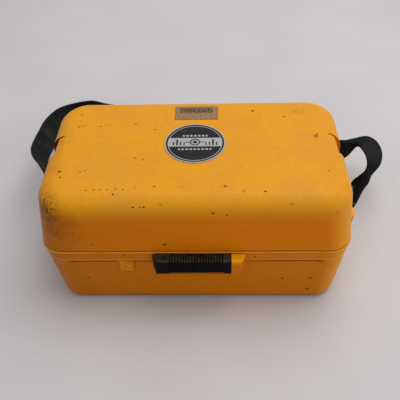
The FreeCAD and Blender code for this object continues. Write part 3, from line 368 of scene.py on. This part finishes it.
# ---- other materials ---------------------------------------------------------------------
def rubber(name, color, roughness, dust):
    """Dark rubber with a dull grey bloom."""
    s = Shader(name, color, roughness, Specular_IOR_Level=0.22)
    at = s.place()
    bloom = s.step(s.noise(at, 9, detail=5, rough=0.65), 0.45, 0.75)
    grey = tuple(c * 2.6 + 0.02 for c in color)
    s.set("Base Color", s.mix(s.times(bloom, dust), color, grey))
    s.set("Roughness", s.math("MULTIPLY_ADD", bloom, 0.25, roughness))
    s.bump(s.noise(at, 0.9, detail=3), 0.06, 0.6)
    return s.material


def grip_material():
    """The handle's rubber: dusty along its top, black and clean on its front."""
    s = Shader("grip_rubber", (0.01, 0.01, 0.01), 0.42, Specular_IOR_Level=0.12)
    at = s.place()
    z = s.split(at)[2]
    dust = s.step(s.noise(at, 5, detail=4), 0.3, 0.7, 0.35, 1.0)
    top = s.times(s.step(z, 84.0, 86.2), dust)
    s.set("Base Color", s.mix(top, (0.0045, 0.005, 0.004), (0.060, 0.056, 0.046)))
    s.set("Roughness", s.math("MULTIPLY_ADD", top, 0.2, 0.38))
    s.bump(s.noise(at, 0.9, detail=3), 0.05, 0.5)
    return s.material


def moulded(name, color, roughness):
    """Plain moulded plastic with a fine grain."""
    s = Shader(name, color, roughness, Specular_IOR_Level=0.25)
    at = s.place()
    worn = s.step(s.noise(at, 12, detail=5), 0.4, 0.75)
    light = tuple(min(1.0, c * 1.5 + 0.02) for c in color)
    s.set("Base Color", s.mix(s.times(worn, 0.3), color, light))
    s.set("Roughness", s.math("MULTIPLY_ADD", worn, 0.14, roughness - 0.05))
    s.bump(s.noise(at, 0.7, detail=2), 0.05, 0.6)
    return s.material


def paint(name, color, hammered, roughness=0.35):
    """Paint on metal, more or less hammered."""
    s = Shader(name, color, roughness, Specular_IOR_Level=0.5, Coat_Weight=0.25)
    at = s.place()
    cloud = s.noise(at, 20, detail=4)
    darker = tuple(c * 0.72 for c in color)
    s.set("Base Color", s.mix(s.step(cloud, 0.4, 0.8), color, darker))
    s.set("Roughness", s.math("MULTIPLY_ADD", cloud, 0.2, roughness - 0.1))
    dimple = s.node("TexVoronoi", {"Vector": at, "Scale": 0.42}).outputs["Distance"]
    grain = s.math("MULTIPLY_ADD", dimple, hammered, s.times(s.noise(at, 0.8), 0.12))
    s.bump(grain, 0.12, 0.6)
    return s.material


def metal(name, color, roughness, turned):
    """Bare metal with fine tool marks along one axis."""
    s = Shader(name, color, roughness, Metallic=1.0)
    at = s.place()
    stretch = {"X": (0.12, 6, 6), "Y": (6, 0.12, 6)}[turned]
    lines = s.noise(at, 1.2, stretch=stretch, detail=3)
    tarnish = s.step(s.noise(at, 8, detail=5), 0.45, 0.8)
    dull = tuple(c * 0.6 for c in color)
    s.set("Base Color", s.mix(s.times(tarnish, 0.5), color, dull))
    s.set("Roughness", s.math("ADD", s.math("MULTIPLY_ADD", lines, 0.2, roughness - 0.1),
                              s.times(tarnish, 0.15)))
    s.bump(lines, 0.02, 0.6)
    return s.material


def glass(name, color, tint):
    """Coated glass with a faint haze."""
    s = Shader(name, color, 0.04, Transmission_Weight=0.85, IOR=1.5, Coat_Weight=0.5)
    at = s.place()
    haze = s.step(s.noise(at, 6, detail=4), 0.5, 0.8)
    s.set("Roughness", s.math("MULTIPLY_ADD", haze, 0.08, 0.03))
    s.set("Base Color", s.mix(s.times(haze, 0.3), color, tint))
    return s.material


def foam_material():
    """Grey open-cell foam."""
    s = Shader("foam", (0.10, 0.10, 0.11), 0.95, Specular_IOR_Level=0.2, Sheen_Weight=0.3)
    at = s.place()
    cells = s.node("TexVoronoi", {"Vector": at, "Scale": 0.75}).outputs["Distance"]
    shade = s.step(cells, 0.1, 0.7)
    s.set("Base Color", s.mix(shade, (0.04, 0.04, 0.045), (0.16, 0.16, 0.17)))
    s.bump(s.math("ADD", cells, s.noise(at, 6)), 0.5, 0.8)
    return s.material


CIRCLE_AXIS = (-38, 2, 0)


def circle_metal():
    """The horizontal circle: satin metal with a band of graduations on its rim, in degrees."""
    s = Shader("circle_metal", (0.72, 0.72, 0.70), 0.34, Metallic=0.9)
    at = s.place()
    x, y, z = s.split(s.vector("SUBTRACT", at, CIRCLE_AXIS))
    turn = s.times(s.math("ARCTAN2", y, x), 180 / math.pi)
    fine = s.math("PINGPONG", turn, 0.5)
    coarse = s.math("PINGPONG", turn, 5.0)
    short = s.times(s.step(fine, 0.16, 0.11), s.step(z, 49.6, 49.4))
    long = s.step(coarse, 0.34, 0.26)
    line = s.math("MAXIMUM", short, long)
    grime = s.step(s.noise(at, 10, detail=4), 0.45, 0.8)
    color = s.mix(s.times(grime, 0.4), (0.72, 0.72, 0.70), (0.45, 0.44, 0.40))
    s.set("Base Color", s.mix(line, color, (0.02, 0.02, 0.02)))
    s.set("Roughness", s.math("MULTIPLY_ADD", grime, 0.2, 0.3))
    return s.material


BADGE_MIDDLE = (0, 2, 0)


def badge_material():
    """The badge: black fields, a bright rim, ring and band, and a plain bubble-and-scale design."""
    s = Shader("badge_face", (0.03, 0.03, 0.03), 0.35, Specular_IOR_Level=0.2)
    at = s.place()
    x, y, _ = s.split(s.vector("SUBTRACT", at, BADGE_MIDDLE))
    out_x = s.math("ABSOLUTE", x)
    away = s.vector("LENGTH", s.node("CombineXYZ", {0: x, 1: y, 2: 0.0}).outputs[0])
    rim = s.step(away, 32.4, 32.6)
    ring = s.within(away, 30.05, 0.45)
    band = s.times(s.within(y, 1.0, 7.5), s.step(away, 30.5, 30.2))
    silver = s.math("MAXIMUM", s.math("MAXIMUM", rim, ring), band)
    ticks = s.times(s.within(s.math("PINGPONG", x, 2.0), 0.0, 0.75), s.within(y, -1.4, 3.0))
    tall = s.times(s.within(out_x, 20.0, 1.0), s.within(y, 0.6, 5.0))
    scale = s.math("MAXIMUM", s.times(ticks, s.within(out_x, 18.5, 7.0)), tall)
    flat = s.node("CombineXYZ", {0: x, 1: s.math("SUBTRACT", y, 1.0), 2: 0.0}).outputs[0]
    eye = s.vector("LENGTH", flat)
    bubble = s.math("MAXIMUM", s.within(eye, 5.0, 0.8), s.step(eye, 2.6, 2.2))
    cross = s.times(s.within(y, 1.0, 0.7), s.within(out_x, 8.2, 2.2))
    print_black = s.math("MAXIMUM", scale, s.math("MAXIMUM", bubble, cross))
    silver = s.times(silver, s.math("SUBTRACT", 1.0, s.times(print_black, band)))
    dashes = s.within(s.math("PINGPONG", x, 2.2), 0.0, 1.45)
    above = s.times(dashes, s.within(y, 12.6, 1.4), s.within(x, 0.0, 14.0))
    below = s.times(dashes, s.within(y, -10.9, 1.2), s.within(x, 0.0, 18.5))
    silver = s.math("MAXIMUM", silver, s.math("MAXIMUM", above, below))
    dust = s.step(s.noise(at, 5, detail=6, rough=0.7), 0.5, 0.72)
    scuffs = s.marks(at, [(-14, 24, 158, 16, 8, 4, 0.5), (10, 26, 158, 12, 6, 4, 0.4)])
    worn = s.step(s.math("SUBTRACT", scuffs, s.noise(at, 2.4, detail=5, rough=0.7)), -0.14, 0.1)
    black = s.mix(s.times(dust, 0.35), (0.018, 0.020, 0.020), (0.06, 0.062, 0.060))
    black = s.mix(s.times(worn, 0.6), black, (0.20, 0.20, 0.19))
    bright = s.mix(s.times(dust, 0.5), (0.50, 0.49, 0.48), (0.34, 0.33, 0.31))
    s.set("Base Color", s.mix(silver, black, bright))
    s.set("Metallic", s.times(silver, 0.35))
    s.set("Roughness", s.math("MULTIPLY_ADD", dust, 0.25, 0.3))
    return s.material


def label_material():
    """The small label: worn brown foil with its print rubbed to smudges."""
    s = Shader("label_foil", (0.4, 0.28, 0.2), 0.5, Metallic=0.15, Specular_IOR_Level=0.25)
    at = s.place()
    x, y, _ = s.split(at)
    mottled = s.noise(at, 2.2, detail=6, rough=0.75)
    color = s.mix(s.step(mottled, 0.32, 0.68), (0.20, 0.10, 0.04), (0.48, 0.29, 0.155))
    rubbed = s.noise(at, 2.4, stretch=(0.7, 1.6, 1), detail=5, rough=0.7)
    upper = s.times(s.step(y, 57.5, 59.5), s.step(y, 69.5, 67.5))
    zone = s.times(upper, s.step(s.math("ABSOLUTE", x), 20.5, 18.5))
    smudge = s.times(zone, s.step(rubbed, 0.62, 0.46))
    color = s.mix(s.times(smudge, 0.85), color, (0.03, 0.022, 0.018))
    edge_x = s.step(s.off(x, 0.5), 23.6, 24.6)
    edge_y = s.step(s.off(y, 58.5), 11.4, 12.2)
    edge = s.math("MAXIMUM", edge_x, edge_y)
    frame_line = s.times(edge, s.step(s.noise(at, 3, detail=5), 0.40, 0.55))
    color = s.mix(s.times(frame_line, 0.5), color, (0.22, 0.10, 0.035))
    s.set("Base Color", color)
    s.set("Roughness", s.math("MULTIPLY_ADD", mottled, 0.3, 0.35))
    s.bump(mottled, 0.08, 0.8)
    return s.material


# Millimetres from one rib of the webbing to the next, and from one of its long cords to the next.
RIB_PITCH = 1.5
CORD_PITCH = 1.9


def strap_material():
    """Dark webbing: cross ribs, woven edges, and dust that has settled along it."""
    s = Shader("strap_weave", (0.03, 0.031, 0.032), 0.62, Specular_IOR_Level=0.06)
    uv = s.node("UVMap", uv_map="along").outputs[0]
    along, across, _ = s.split(uv)
    at = s.place()
    x, y, _ = s.split(at)
    rib = s.math("SINE", s.times(along, 2 * math.pi / RIB_PITCH))
    cord = s.math("SINE", s.times(across, 2 * math.pi / CORD_PITCH))
    weave = s.math("MULTIPLY_ADD", rib, 0.6, s.times(cord, 0.4))
    dust = s.step(s.noise(at, 26, detail=6, rough=0.6), 0.36, 0.72)
    fine = s.step(s.noise(at, 4, detail=5, rough=0.7), 0.4, 0.75)
    settled = s.times(s.math("MULTIPLY_ADD", fine, 0.5, 0.5), dust)
    left = s.step(x, 120, -60, 0.15, 0.75)
    color = s.mix(s.times(settled, left), (0.017, 0.021, 0.0205), (0.067, 0.069, 0.057))
    stains = s.step(s.noise(at, 11, stretch=(1, 1, 2.2), detail=5, rough=0.7), 0.58, 0.70)
    color = s.mix(s.times(stains, left, 0.45), color, (0.095, 0.094, 0.078))
    shaded = s.times(s.step(x, 176, 188), s.step(y, 78, 40))
    color = s.mix(s.times(shaded, 0.8), color, (0.003, 0.0028, 0.002))
    # Painted shade: the weave's grooves darker than its ribs.
    groove_shade = s.step(weave, 0.1, -0.9)
    color = s.mix(s.times(groove_shade, 0.45), color, (0.006, 0.006, 0.006))
    s.set("Base Color", color)
    matt = s.math("MULTIPLY_ADD", shaded, 0.25, 0.5)
    s.set("Roughness", s.math("MULTIPLY_ADD", settled, 0.25, matt))
    s.bump(weave, 0.22, 0.7)
    return s.material


def thread_material():
    """Grey polyester thread."""
    s = Shader("strap_thread", (0.10, 0.10, 0.10), 0.6, Sheen_Weight=0.2)
    at = s.place()
    twist = s.noise(at, 0.5, detail=2)
    s.set("Base Color", s.mix(twist, (0.06, 0.06, 0.06), (0.16, 0.16, 0.155)))
    s.bump(twist, 0.05, 0.5)
    return s.material


# ---- strap -------------------------------------------------------------------------------
# Pairs of points on the strap's two edges, from the right lug to the left one, in millimetres.
STRAP_STATIONS = [
    ((185.0, 4.0, 94.0), (193.0, -2.0, 61.0)),
    ((196.0, 16.0, 93.5), (207.4, 23.6, 61.4)),
    ((206.0, 28.0, 91.0), (217.5, 38.7, 60.0)),
    ((211.5, 40.0, 88.0), (224.5, 53.0, 60.0)),
    ((214.5, 51.0, 84.0), (237.7, 67.3, 64.5)),
    ((217.0, 63.0, 79.0), (243.5, 83.0, 69.0)),
    ((219.4, 77.0, 73.0), (244.5, 101.0, 69.0)),
    ((220.8, 92.0, 67.0), (242.0, 119.5, 65.5)),
    ((221.6, 107.0, 60.0), (235.5, 136.5, 58.0)),
    ((223.0, 121.0, 52.0), (221.5, 142.5, 49.5)),
    ((222.0, 131.0, 42.0), (204.5, 131.5, 55.5)),
    ((206.6, 125.0, 27.0), (197.5, 126.0, 60.0)),
    ((181.0, 131.0, 16.0), (176.0, 131.0, 50.0)),
    ((140.0, 148.0, 6.0), (138.0, 149.0, 40.0)),
    ((80.0, 175.0, 2.6), (80.0, 176.0, 36.6)),
    ((0.0, 207.0, 1.6), (0.0, 209.0, 35.6)),
    ((-80.0, 234.0, 2.2), (-81.0, 236.0, 36.2)),
    ((-146.0, 250.0, 5.0), (-148.0, 249.0, 39.0)),
    ((-173.0, 252.0, 11.0), (-176.0, 251.0, 45.0)),
    ((-198.0, 239.0, 16.5), (-203.0, 236.0, 50.5)),
    ((-212.0, 216.0, 24.0), (-220.5, 213.0, 57.5)),
    ((-216.5, 179.0, 34.0), (-229.0, 175.0, 66.0)),
    ((-213.5, 143.0, 41.5), (-229.5, 140.5, 72.0)),
    ((-212.0, 109.0, 49.5), (-228.6, 99.0, 78.0)),
    ((-208.5, 86.0, 55.5), (-219.5, 71.5, 84.5)),
    ((-202.0, 60.0, 60.0), (-201.5, 44.0, 90.5)),
    ((-191.5, 30.0, 57.5), (-189.5, 24.0, 91.0)),
    ((-186.0, 5.0, 53.0), (-184.5, 2.0, 87.0)),
]
STRAP_STEPS = 10                        # sections from one station to the next
LUG_BAR = (176.3, -37.0)
LUG_LOOP_R = 3.8                        # from the bar's axis to the middle of the strap round it
STRAP_EDGES_AT_LUG = (83.0, 49.2)


def lug_loop(side, first_z, second_z):
    """Stations of one strap end: its sewn tail, round the bar and off along the case."""
    plan = [(177.0, -6.0), (176.6, -13.0), (174.9, -25.0)]
    for step in range(5):
        turn = math.pi + step * math.pi / 4
        x = LUG_BAR[0] + LUG_LOOP_R * math.cos(turn)
        y = LUG_BAR[1] + LUG_LOOP_R * math.sin(turn)
        plan.append((x, y))
    plan += [(179.8, -25.0), (180.4, -14.0)]
    return [((side * x, y, first_z), (side * x, y, second_z)) for x, y in plan]


def smooth_through(points, steps):
    """Points on a smooth curve through the given ones."""
    vectors = [Vector(point) for point in points]
    ends = [vectors[0] * 2 - vectors[1]] + vectors + [vectors[-1] * 2 - vectors[-2]]
    curve = []
    for i in range(1, len(ends) - 2):
        before, start, end, after = ends[i - 1:i + 3]
        for step in range(steps):
            t = step / steps
            curve.append((start * 2 + (end - before) * t
                          + (before * 2 - start * 5 + end * 4 - after) * (t * t)
                          + (start * 3 - before - end * 3 + after) * (t * t * t)) * 0.5)
    return curve + [vectors[-1]]


# The strap's cross section: shares of its half width and half thickness, with thicker edges.
STRAP_SECTION = [
    (-1.0, 0.0), (-0.985, 0.62), (-0.95, 0.95), (-0.86, 0.98), (-0.80, 0.80), (-0.4, 0.76), (0.0, 0.80),
    (0.4, 0.76), (0.80, 0.80), (0.86, 0.98), (0.95, 0.95), (0.985, 0.62),
    (1.0, 0.0), (0.985, -0.62), (0.95, -0.95), (0.86, -0.98), (0.80, -0.80), (0.4, -0.76), (0.0, -0.80),
    (-0.4, -0.76), (-0.80, -0.80), (-0.86, -0.98), (-0.95, -0.95), (-0.985, -0.62),
]
STRAP_HALF_THICK = 1.2
STRAP_HALF_WIDTH = 17.0


def strap_rows():
    """Middle, half width and outward half thickness of the strap at every section."""
    top, low = STRAP_EDGES_AT_LUG
    stations = lug_loop(1, top, low) + STRAP_STATIONS + list(reversed(lug_loop(-1, low, top)))
    first = smooth_through([station[0] for station in stations], STRAP_STEPS)
    second = smooth_through([station[1] for station in stations], STRAP_STEPS)
    middle = [(a + b) / 2 for a, b in zip(first, second)]
    rows = []
    for i, (one, other) in enumerate(zip(first, second)):
        ahead = middle[min(i + 1, len(middle) - 1)] - middle[max(i - 1, 0)]
        half = (one - other) / 2
        out = ahead.cross(half).normalized() * STRAP_HALF_THICK
        rows.append((middle[i], half, out))
    return rows


def new_object(name, points, faces, material, smooth=True):
    """A mesh object from points in millimetres."""
    mesh = bpy.data.meshes.new(name)
    mesh.from_pydata([Vector(p) * MM for p in points], [], faces)
    mesh.materials.append(material)
    mesh.polygons.foreach_set("use_smooth", [smooth] * len(mesh.polygons))
    made = bpy.data.objects.new(name, mesh)
    bpy.context.collection.objects.link(made)
    return made


def make_strap(material):
    """The strap's webbing, with thick woven edges."""
    rows = strap_rows()
    ring = len(STRAP_SECTION)
    points, faces, coords = [], [], []
    length = 0.0
    for i, (middle, half, out) in enumerate(rows):
        if i:
            length += (middle - rows[i - 1][0]).length
        for across, thick in STRAP_SECTION:
            points.append(middle + half * across + out * thick)
            coords.append((length, across * STRAP_HALF_WIDTH))
    for i in range(len(rows) - 1):
        for k in range(ring):
            a, b = i * ring + k, i * ring + (k + 1) % ring
            faces.append((a, b, b + ring, a + ring))
    faces.append(tuple(reversed(range(ring))))
    faces.append(tuple(range((len(rows) - 1) * ring, len(rows) * ring)))
    strap = new_object("strap_webbing", points, faces, material)
    layer = strap.data.uv_layers.new(name="along")
    for loop in strap.data.loops:
        layer.data[loop.index].uv = coords[loop.vertex_index]
    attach(strap, "case_base")
    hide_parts("shoulder_strap")
    return rows


# ---- stitching ---------------------------------------------------------------------------
SEWN = (8 * STRAP_STEPS, 10 * STRAP_STEPS)      # the sewn stretch's first and last section
STITCH_EVERY = 3                        # sections from one stitch to the next
STITCH_RUN = 2                          # sections that one stitch reaches over
STITCH_EDGE = 0.78                      # the side seams' place, as a share of the half width
STITCH_LEAN = 0.08                      # how far a stitch of the cross leans, likewise
STITCH_SIZE = (0.82, 0.34, 0.3)         # share of its own run, half width and half height (mm)
STITCH_LIFT = 0.84                      # its middle's height, as a share of the half thickness
STITCH_SHORTEST = 0.3                   # half the length (mm) under which a stitch is left out
STITCH_SIDES = 6
STITCH_PROFILE = [(-1.0, 0.0), (-0.8, 0.7), (-0.35, 1.0), (0.35, 1.0), (0.8, 0.7), (1.0, 0.0)]


def capsule(points, faces, middle, along, across, out):
    """Add one stitch, a small rounded bar, given by its middle and its three half axes."""
    start = len(points)
    for share, radius in STITCH_PROFILE:
        for k in range(STITCH_SIDES):
            turn = 2 * math.pi * k / STITCH_SIDES
            offset = (across * math.cos(turn) + out * math.sin(turn)) * radius
            points.append(middle + along * share + offset)
    for i in range(len(STITCH_PROFILE) - 1):
        for k in range(STITCH_SIDES):
            a = start + i * STITCH_SIDES + k
            b = start + i * STITCH_SIDES + (k + 1) % STITCH_SIDES
            faces.append((a, b, b + STITCH_SIDES, a + STITCH_SIDES))


def add_stitch(points, faces, rows, i, across, across_next, face):
    """One stitch on the strap's face, from one row towards the next."""
    middle, half, out = rows[i]
    ahead_middle, ahead_half, _ = rows[min(i + STITCH_RUN, len(rows) - 1)]
    start = middle + half * across
    end = ahead_middle + ahead_half * across_next
    along = (end - start) / 2
    if along.length < STITCH_SHORTEST:
        return
    share, wide, high = STITCH_SIZE
    side = along.cross(out).normalized()
    on_face = (start + end) / 2 + out * (face * STITCH_LIFT)
    capsule(points, faces, on_face, along * share, side * wide, out.normalized() * high)


def make_stitching(rows, material):
    """Box stitching where each strap end is sewn back on itself."""
    points, faces = [], []
    for side_rows, sign in ((rows, 1), (list(reversed(rows)), -1)):
        sewn = side_rows[SEWN[0]:SEWN[1] + 1]
        picked = range(0, len(sewn) - 1, STITCH_EVERY)
        for face in (sign, -sign):
            for across in (-STITCH_EDGE, STITCH_EDGE):
                for i in picked:
                    add_stitch(points, faces, sewn, i, across, across, face)
            for i in picked:
                across = STITCH_EDGE * (2 * i / (len(sewn) - 1) - 1)
                for way in (1, -1):
                    leaning = way * (across + STITCH_LEAN)
                    add_stitch(points, faces, sewn, i, way * across, leaning, face)
    stitches = new_object("strap_stitching", points, faces, material)
    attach(stitches, "case_base")


# ---- foam pad ----------------------------------------------------------------------------
PAD_CELLS = (34, 18, 5)                 # along x, y and z


def pad_shape(u, v, w):
    """Shares of the pad's half sizes at a place in it: full in the middle, softer to its edges."""
    narrow_x = 1 - 0.02 * (1 - math.cos(math.pi * v)) / 2
    narrow_y = 1 - 0.03 * (1 - math.cos(math.pi * u)) / 2
    corner = 1 - min(1, 4 * (1 - abs(v)) + 0.2)
    narrow_x *= 1 - 0.045 * corner * abs(u)
    edge = max(abs(u), abs(v)) ** 6
    sink = 0.06 * max(abs(u), abs(v)) ** 8 if w > 0 else 0.22 * edge
    round_in = 1 - 0.012 * w * w * edge
    return u * narrow_x * round_in, v * narrow_y * round_in, w * (1 - sink)


def make_pad(material):
    """The lid's foam pad: a soft-edged slab that swells a little between its corners."""
    low, high = (Vector(corner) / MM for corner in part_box("lid_pad"))
    middle, half = (low + high) / 2, (high - low) / 2
    across, deep, thick = PAD_CELLS
    index, points, faces = {}, [], []

    def point(cell):
        if cell not in index:
            shares = pad_shape(*(2 * at / count - 1 for at, count in zip(cell, PAD_CELLS)))
            index[cell] = len(points)
            points.append(middle + Vector(share * size for share, size in zip(shares, half)))
        return index[cell]

    def face(*cells):
        faces.append(tuple(point(cell) for cell in cells))

    for i in range(across):
        for j in range(deep):
            face((i, j, 0), (i, j + 1, 0), (i + 1, j + 1, 0), (i + 1, j, 0))
            face((i, j, thick), (i + 1, j, thick), (i + 1, j + 1, thick), (i, j + 1, thick))
    for k in range(thick):
        for i in range(across):
            face((i, 0, k), (i + 1, 0, k), (i + 1, 0, k + 1), (i, 0, k + 1))
            face((i + 1, deep, k), (i, deep, k), (i, deep, k + 1), (i + 1, deep, k + 1))
        for j in range(deep):
            face((0, j + 1, k), (0, j, k), (0, j, k + 1), (0, j + 1, k + 1))
            face((across, j, k), (across, j + 1, k), (across, j + 1, k + 1), (across, j, k + 1))
    pad = new_object("lid_foam", points, faces, material)
    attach(pad, "lid")
    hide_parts("lid_pad")


# ---- materials onto the CAD nodes --------------------------------------------------------
def paint_nodes(material, *names):
    """Give CAD nodes a material."""
    for name in names:
        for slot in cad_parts[name].material_slots:
            slot.material = material


def paint_all():
    """Every CAD node's material."""
    paint_nodes(lid_plastic(), "lid_shell")
    paint_nodes(base_plastic(), "base_shell")
    paint_nodes(handle_plastic(), "handle_bar")
    paint_nodes(grip_material(), "grip_sleeve")
    latches = moulded("latch_plastic", (0.016, 0.016, 0.016), 0.4)
    paint_nodes(latches, "latch_left", "latch_right")
    steel = metal("pin_steel", (0.62, 0.61, 0.59), 0.32, "X")
    paint_nodes(steel, "hinge_pin_left", "hinge_pin_right")
    small_steel = metal("small_steel", (0.60, 0.60, 0.60), 0.28, "Y")
    paint_nodes(small_steel, "latch_pin_left", "latch_pin_right")
    paint_nodes(small_steel, "adjusting_pin", "hex_wrench", "cover_screws")
    insert = moulded("insert_plastic", (0.022, 0.022, 0.024), 0.5)
    paint_nodes(insert, "instrument_cradle", "handle_guides")
    paint_nodes(badge_material(), "badge_plate")
    paint_nodes(label_material(), "label_plate")
    paint_nodes(metal("turned_brass", (0.80, 0.58, 0.26), 0.3, "Y"), "plumb_bob")
    pale = paint("level_paint", (0.70, 0.68, 0.60), 0.5)
    paint_nodes(pale, "telescope_housing", "housing_cover")
    dark = paint("level_paint_dark", (0.035, 0.038, 0.042), 0.25, 0.4)
    paint_nodes(dark, "base_plate", "levelling_head", "objective_barrel", "eyepiece_barrel")
    paint_nodes(circle_metal(), "circle_ring")
    black = moulded("level_plastic", (0.02, 0.02, 0.021), 0.4)
    paint_nodes(black, "gun_sight", "eyepiece_ring", "vial_housing")
    anodised = metal("anodised", (0.07, 0.07, 0.075), 0.45, "X")
    paint_nodes(anodised, "focusing_tube", "focusing_cell", "compensator_frame")
    lens = glass("lens_glass", (0.75, 0.86, 0.95), (0.6, 0.5, 0.9))
    paint_nodes(lens, "objective_lens", "eyepiece_lens", "reticle_glass")
    paint_nodes(lens, "focusing_lens", "compensator_prism")
    paint_nodes(glass("vial_spirit", (0.72, 0.92, 0.35), (0.9, 1.0, 0.6)), "vial_glass")
    paint_nodes(metal("mirror_plate", (0.86, 0.87, 0.88), 0.12, "X"), "vial_mirror")
    knobs = rubber("knob_rubber", (0.022, 0.022, 0.023), 0.5, 0.3)
    paint_nodes(knobs, "focus_knob", "tangent_screw", "foot_screw_a", "foot_screw_b", "foot_screw_c")


# ---- floor, light and camera -------------------------------------------------------------
FLOOR_HALF = 6000
FLOOR_Z = -0.2                          # just under the case, so that the two don't share a plane


def make_floor():
    """A pale painted floor."""
    s = Shader("floor_paint", (0.6, 0.58, 0.58), 0.75, Specular_IOR_Level=0.25)
    at = s.place()
    cloud = s.noise(at, 180, detail=5)
    color = s.mix(s.step(cloud, 0.3, 0.7), (0.625, 0.603, 0.608), (0.660, 0.640, 0.650))
    speck = s.step(s.noise(at, 6, detail=4, rough=0.7), 0.70, 0.78)
    s.set("Base Color", s.mix(s.times(speck, 0.15), color, (0.35, 0.33, 0.33)))
    s.bump(s.noise(at, 3, detail=4), 0.2, 0.3)
    ways = [(-1, -1), (1, -1), (1, 1), (-1, 1)]
    corners = [(FLOOR_HALF * x, FLOOR_HALF * y, FLOOR_Z) for x, y in ways]
    floor = new_object("floor", corners, [(0, 1, 2, 3)], s.material, smooth=False)


def add_area(name, place, target, size, energy):
    """A soft square light that looks at a point."""
    light = bpy.data.lights.new(name, "AREA")
    light.size = size
    light.energy = energy
    lamp = bpy.data.objects.new(name, light)
    lamp.location = place
    lamp.rotation_euler = (Vector(target) - Vector(place)).to_track_quat("-Z", "Y").to_euler()
    bpy.context.collection.objects.link(lamp)


def make_light():
    """A pale room, a large soft light above, to the right and behind, and a weak one at the right."""
    world = bpy.data.worlds.new("room")
    world.use_nodes = True
    background = world.node_tree.nodes["Background"]
    background.inputs["Color"].default_value = (1.0, 0.985, 0.985, 1.0)
    background.inputs["Strength"].default_value = 0.485
    bpy.context.scene.world = world
    add_area("overhead", (0.50, 0.40, 1.9), (0.0, 0.0, 0.05), size=1.5, energy=19.5)
    add_area("right", (1.7, -0.15, 0.8), (0.15, 0.0, 0.1), size=0.8, energy=3.4)


# The camera's place (m) and the directions of its view and of its picture's top edge.
CAMERA_AT = (0.0245, -0.4573, 0.5325)
CAMERA_LOOK = (-0.0328, 0.7027, -0.7107)
CAMERA_UP = (0.0064, 0.7112, 0.7029)
CAMERA_LENS = 47.61


def make_camera():
    """The camera, in front of the case and above it."""
    data = bpy.data.cameras.new("camera")
    data.lens = CAMERA_LENS
    data.sensor_width = 36.0
    look = Vector(CAMERA_LOOK).normalized()
    right = look.cross(Vector(CAMERA_UP)).normalized()
    up = right.cross(look)
    turn = Matrix((right, up, -look)).transposed().to_4x4()
    camera = bpy.data.objects.new("camera", data)
    camera.matrix_world = Matrix.Translation(CAMERA_AT) @ turn
    bpy.context.collection.objects.link(camera)
    bpy.context.scene.camera = camera


def set_tones():
    """Plain tones with slightly deeper blacks."""
    view = bpy.context.scene.view_settings
    view.view_transform = "Standard"
    view.use_curve_mapping = True
    view.curve_mapping.black_level = (0.005, 0.005, 0.005)
    view.curve_mapping.update()


def main():
    """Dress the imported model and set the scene."""
    make_camera()
    make_floor()
    make_light()
    set_tones()
    paint_all()
    rows = make_strap(strap_material())
    make_stitching(rows, thread_material())
    make_pad(foam_material())


main()
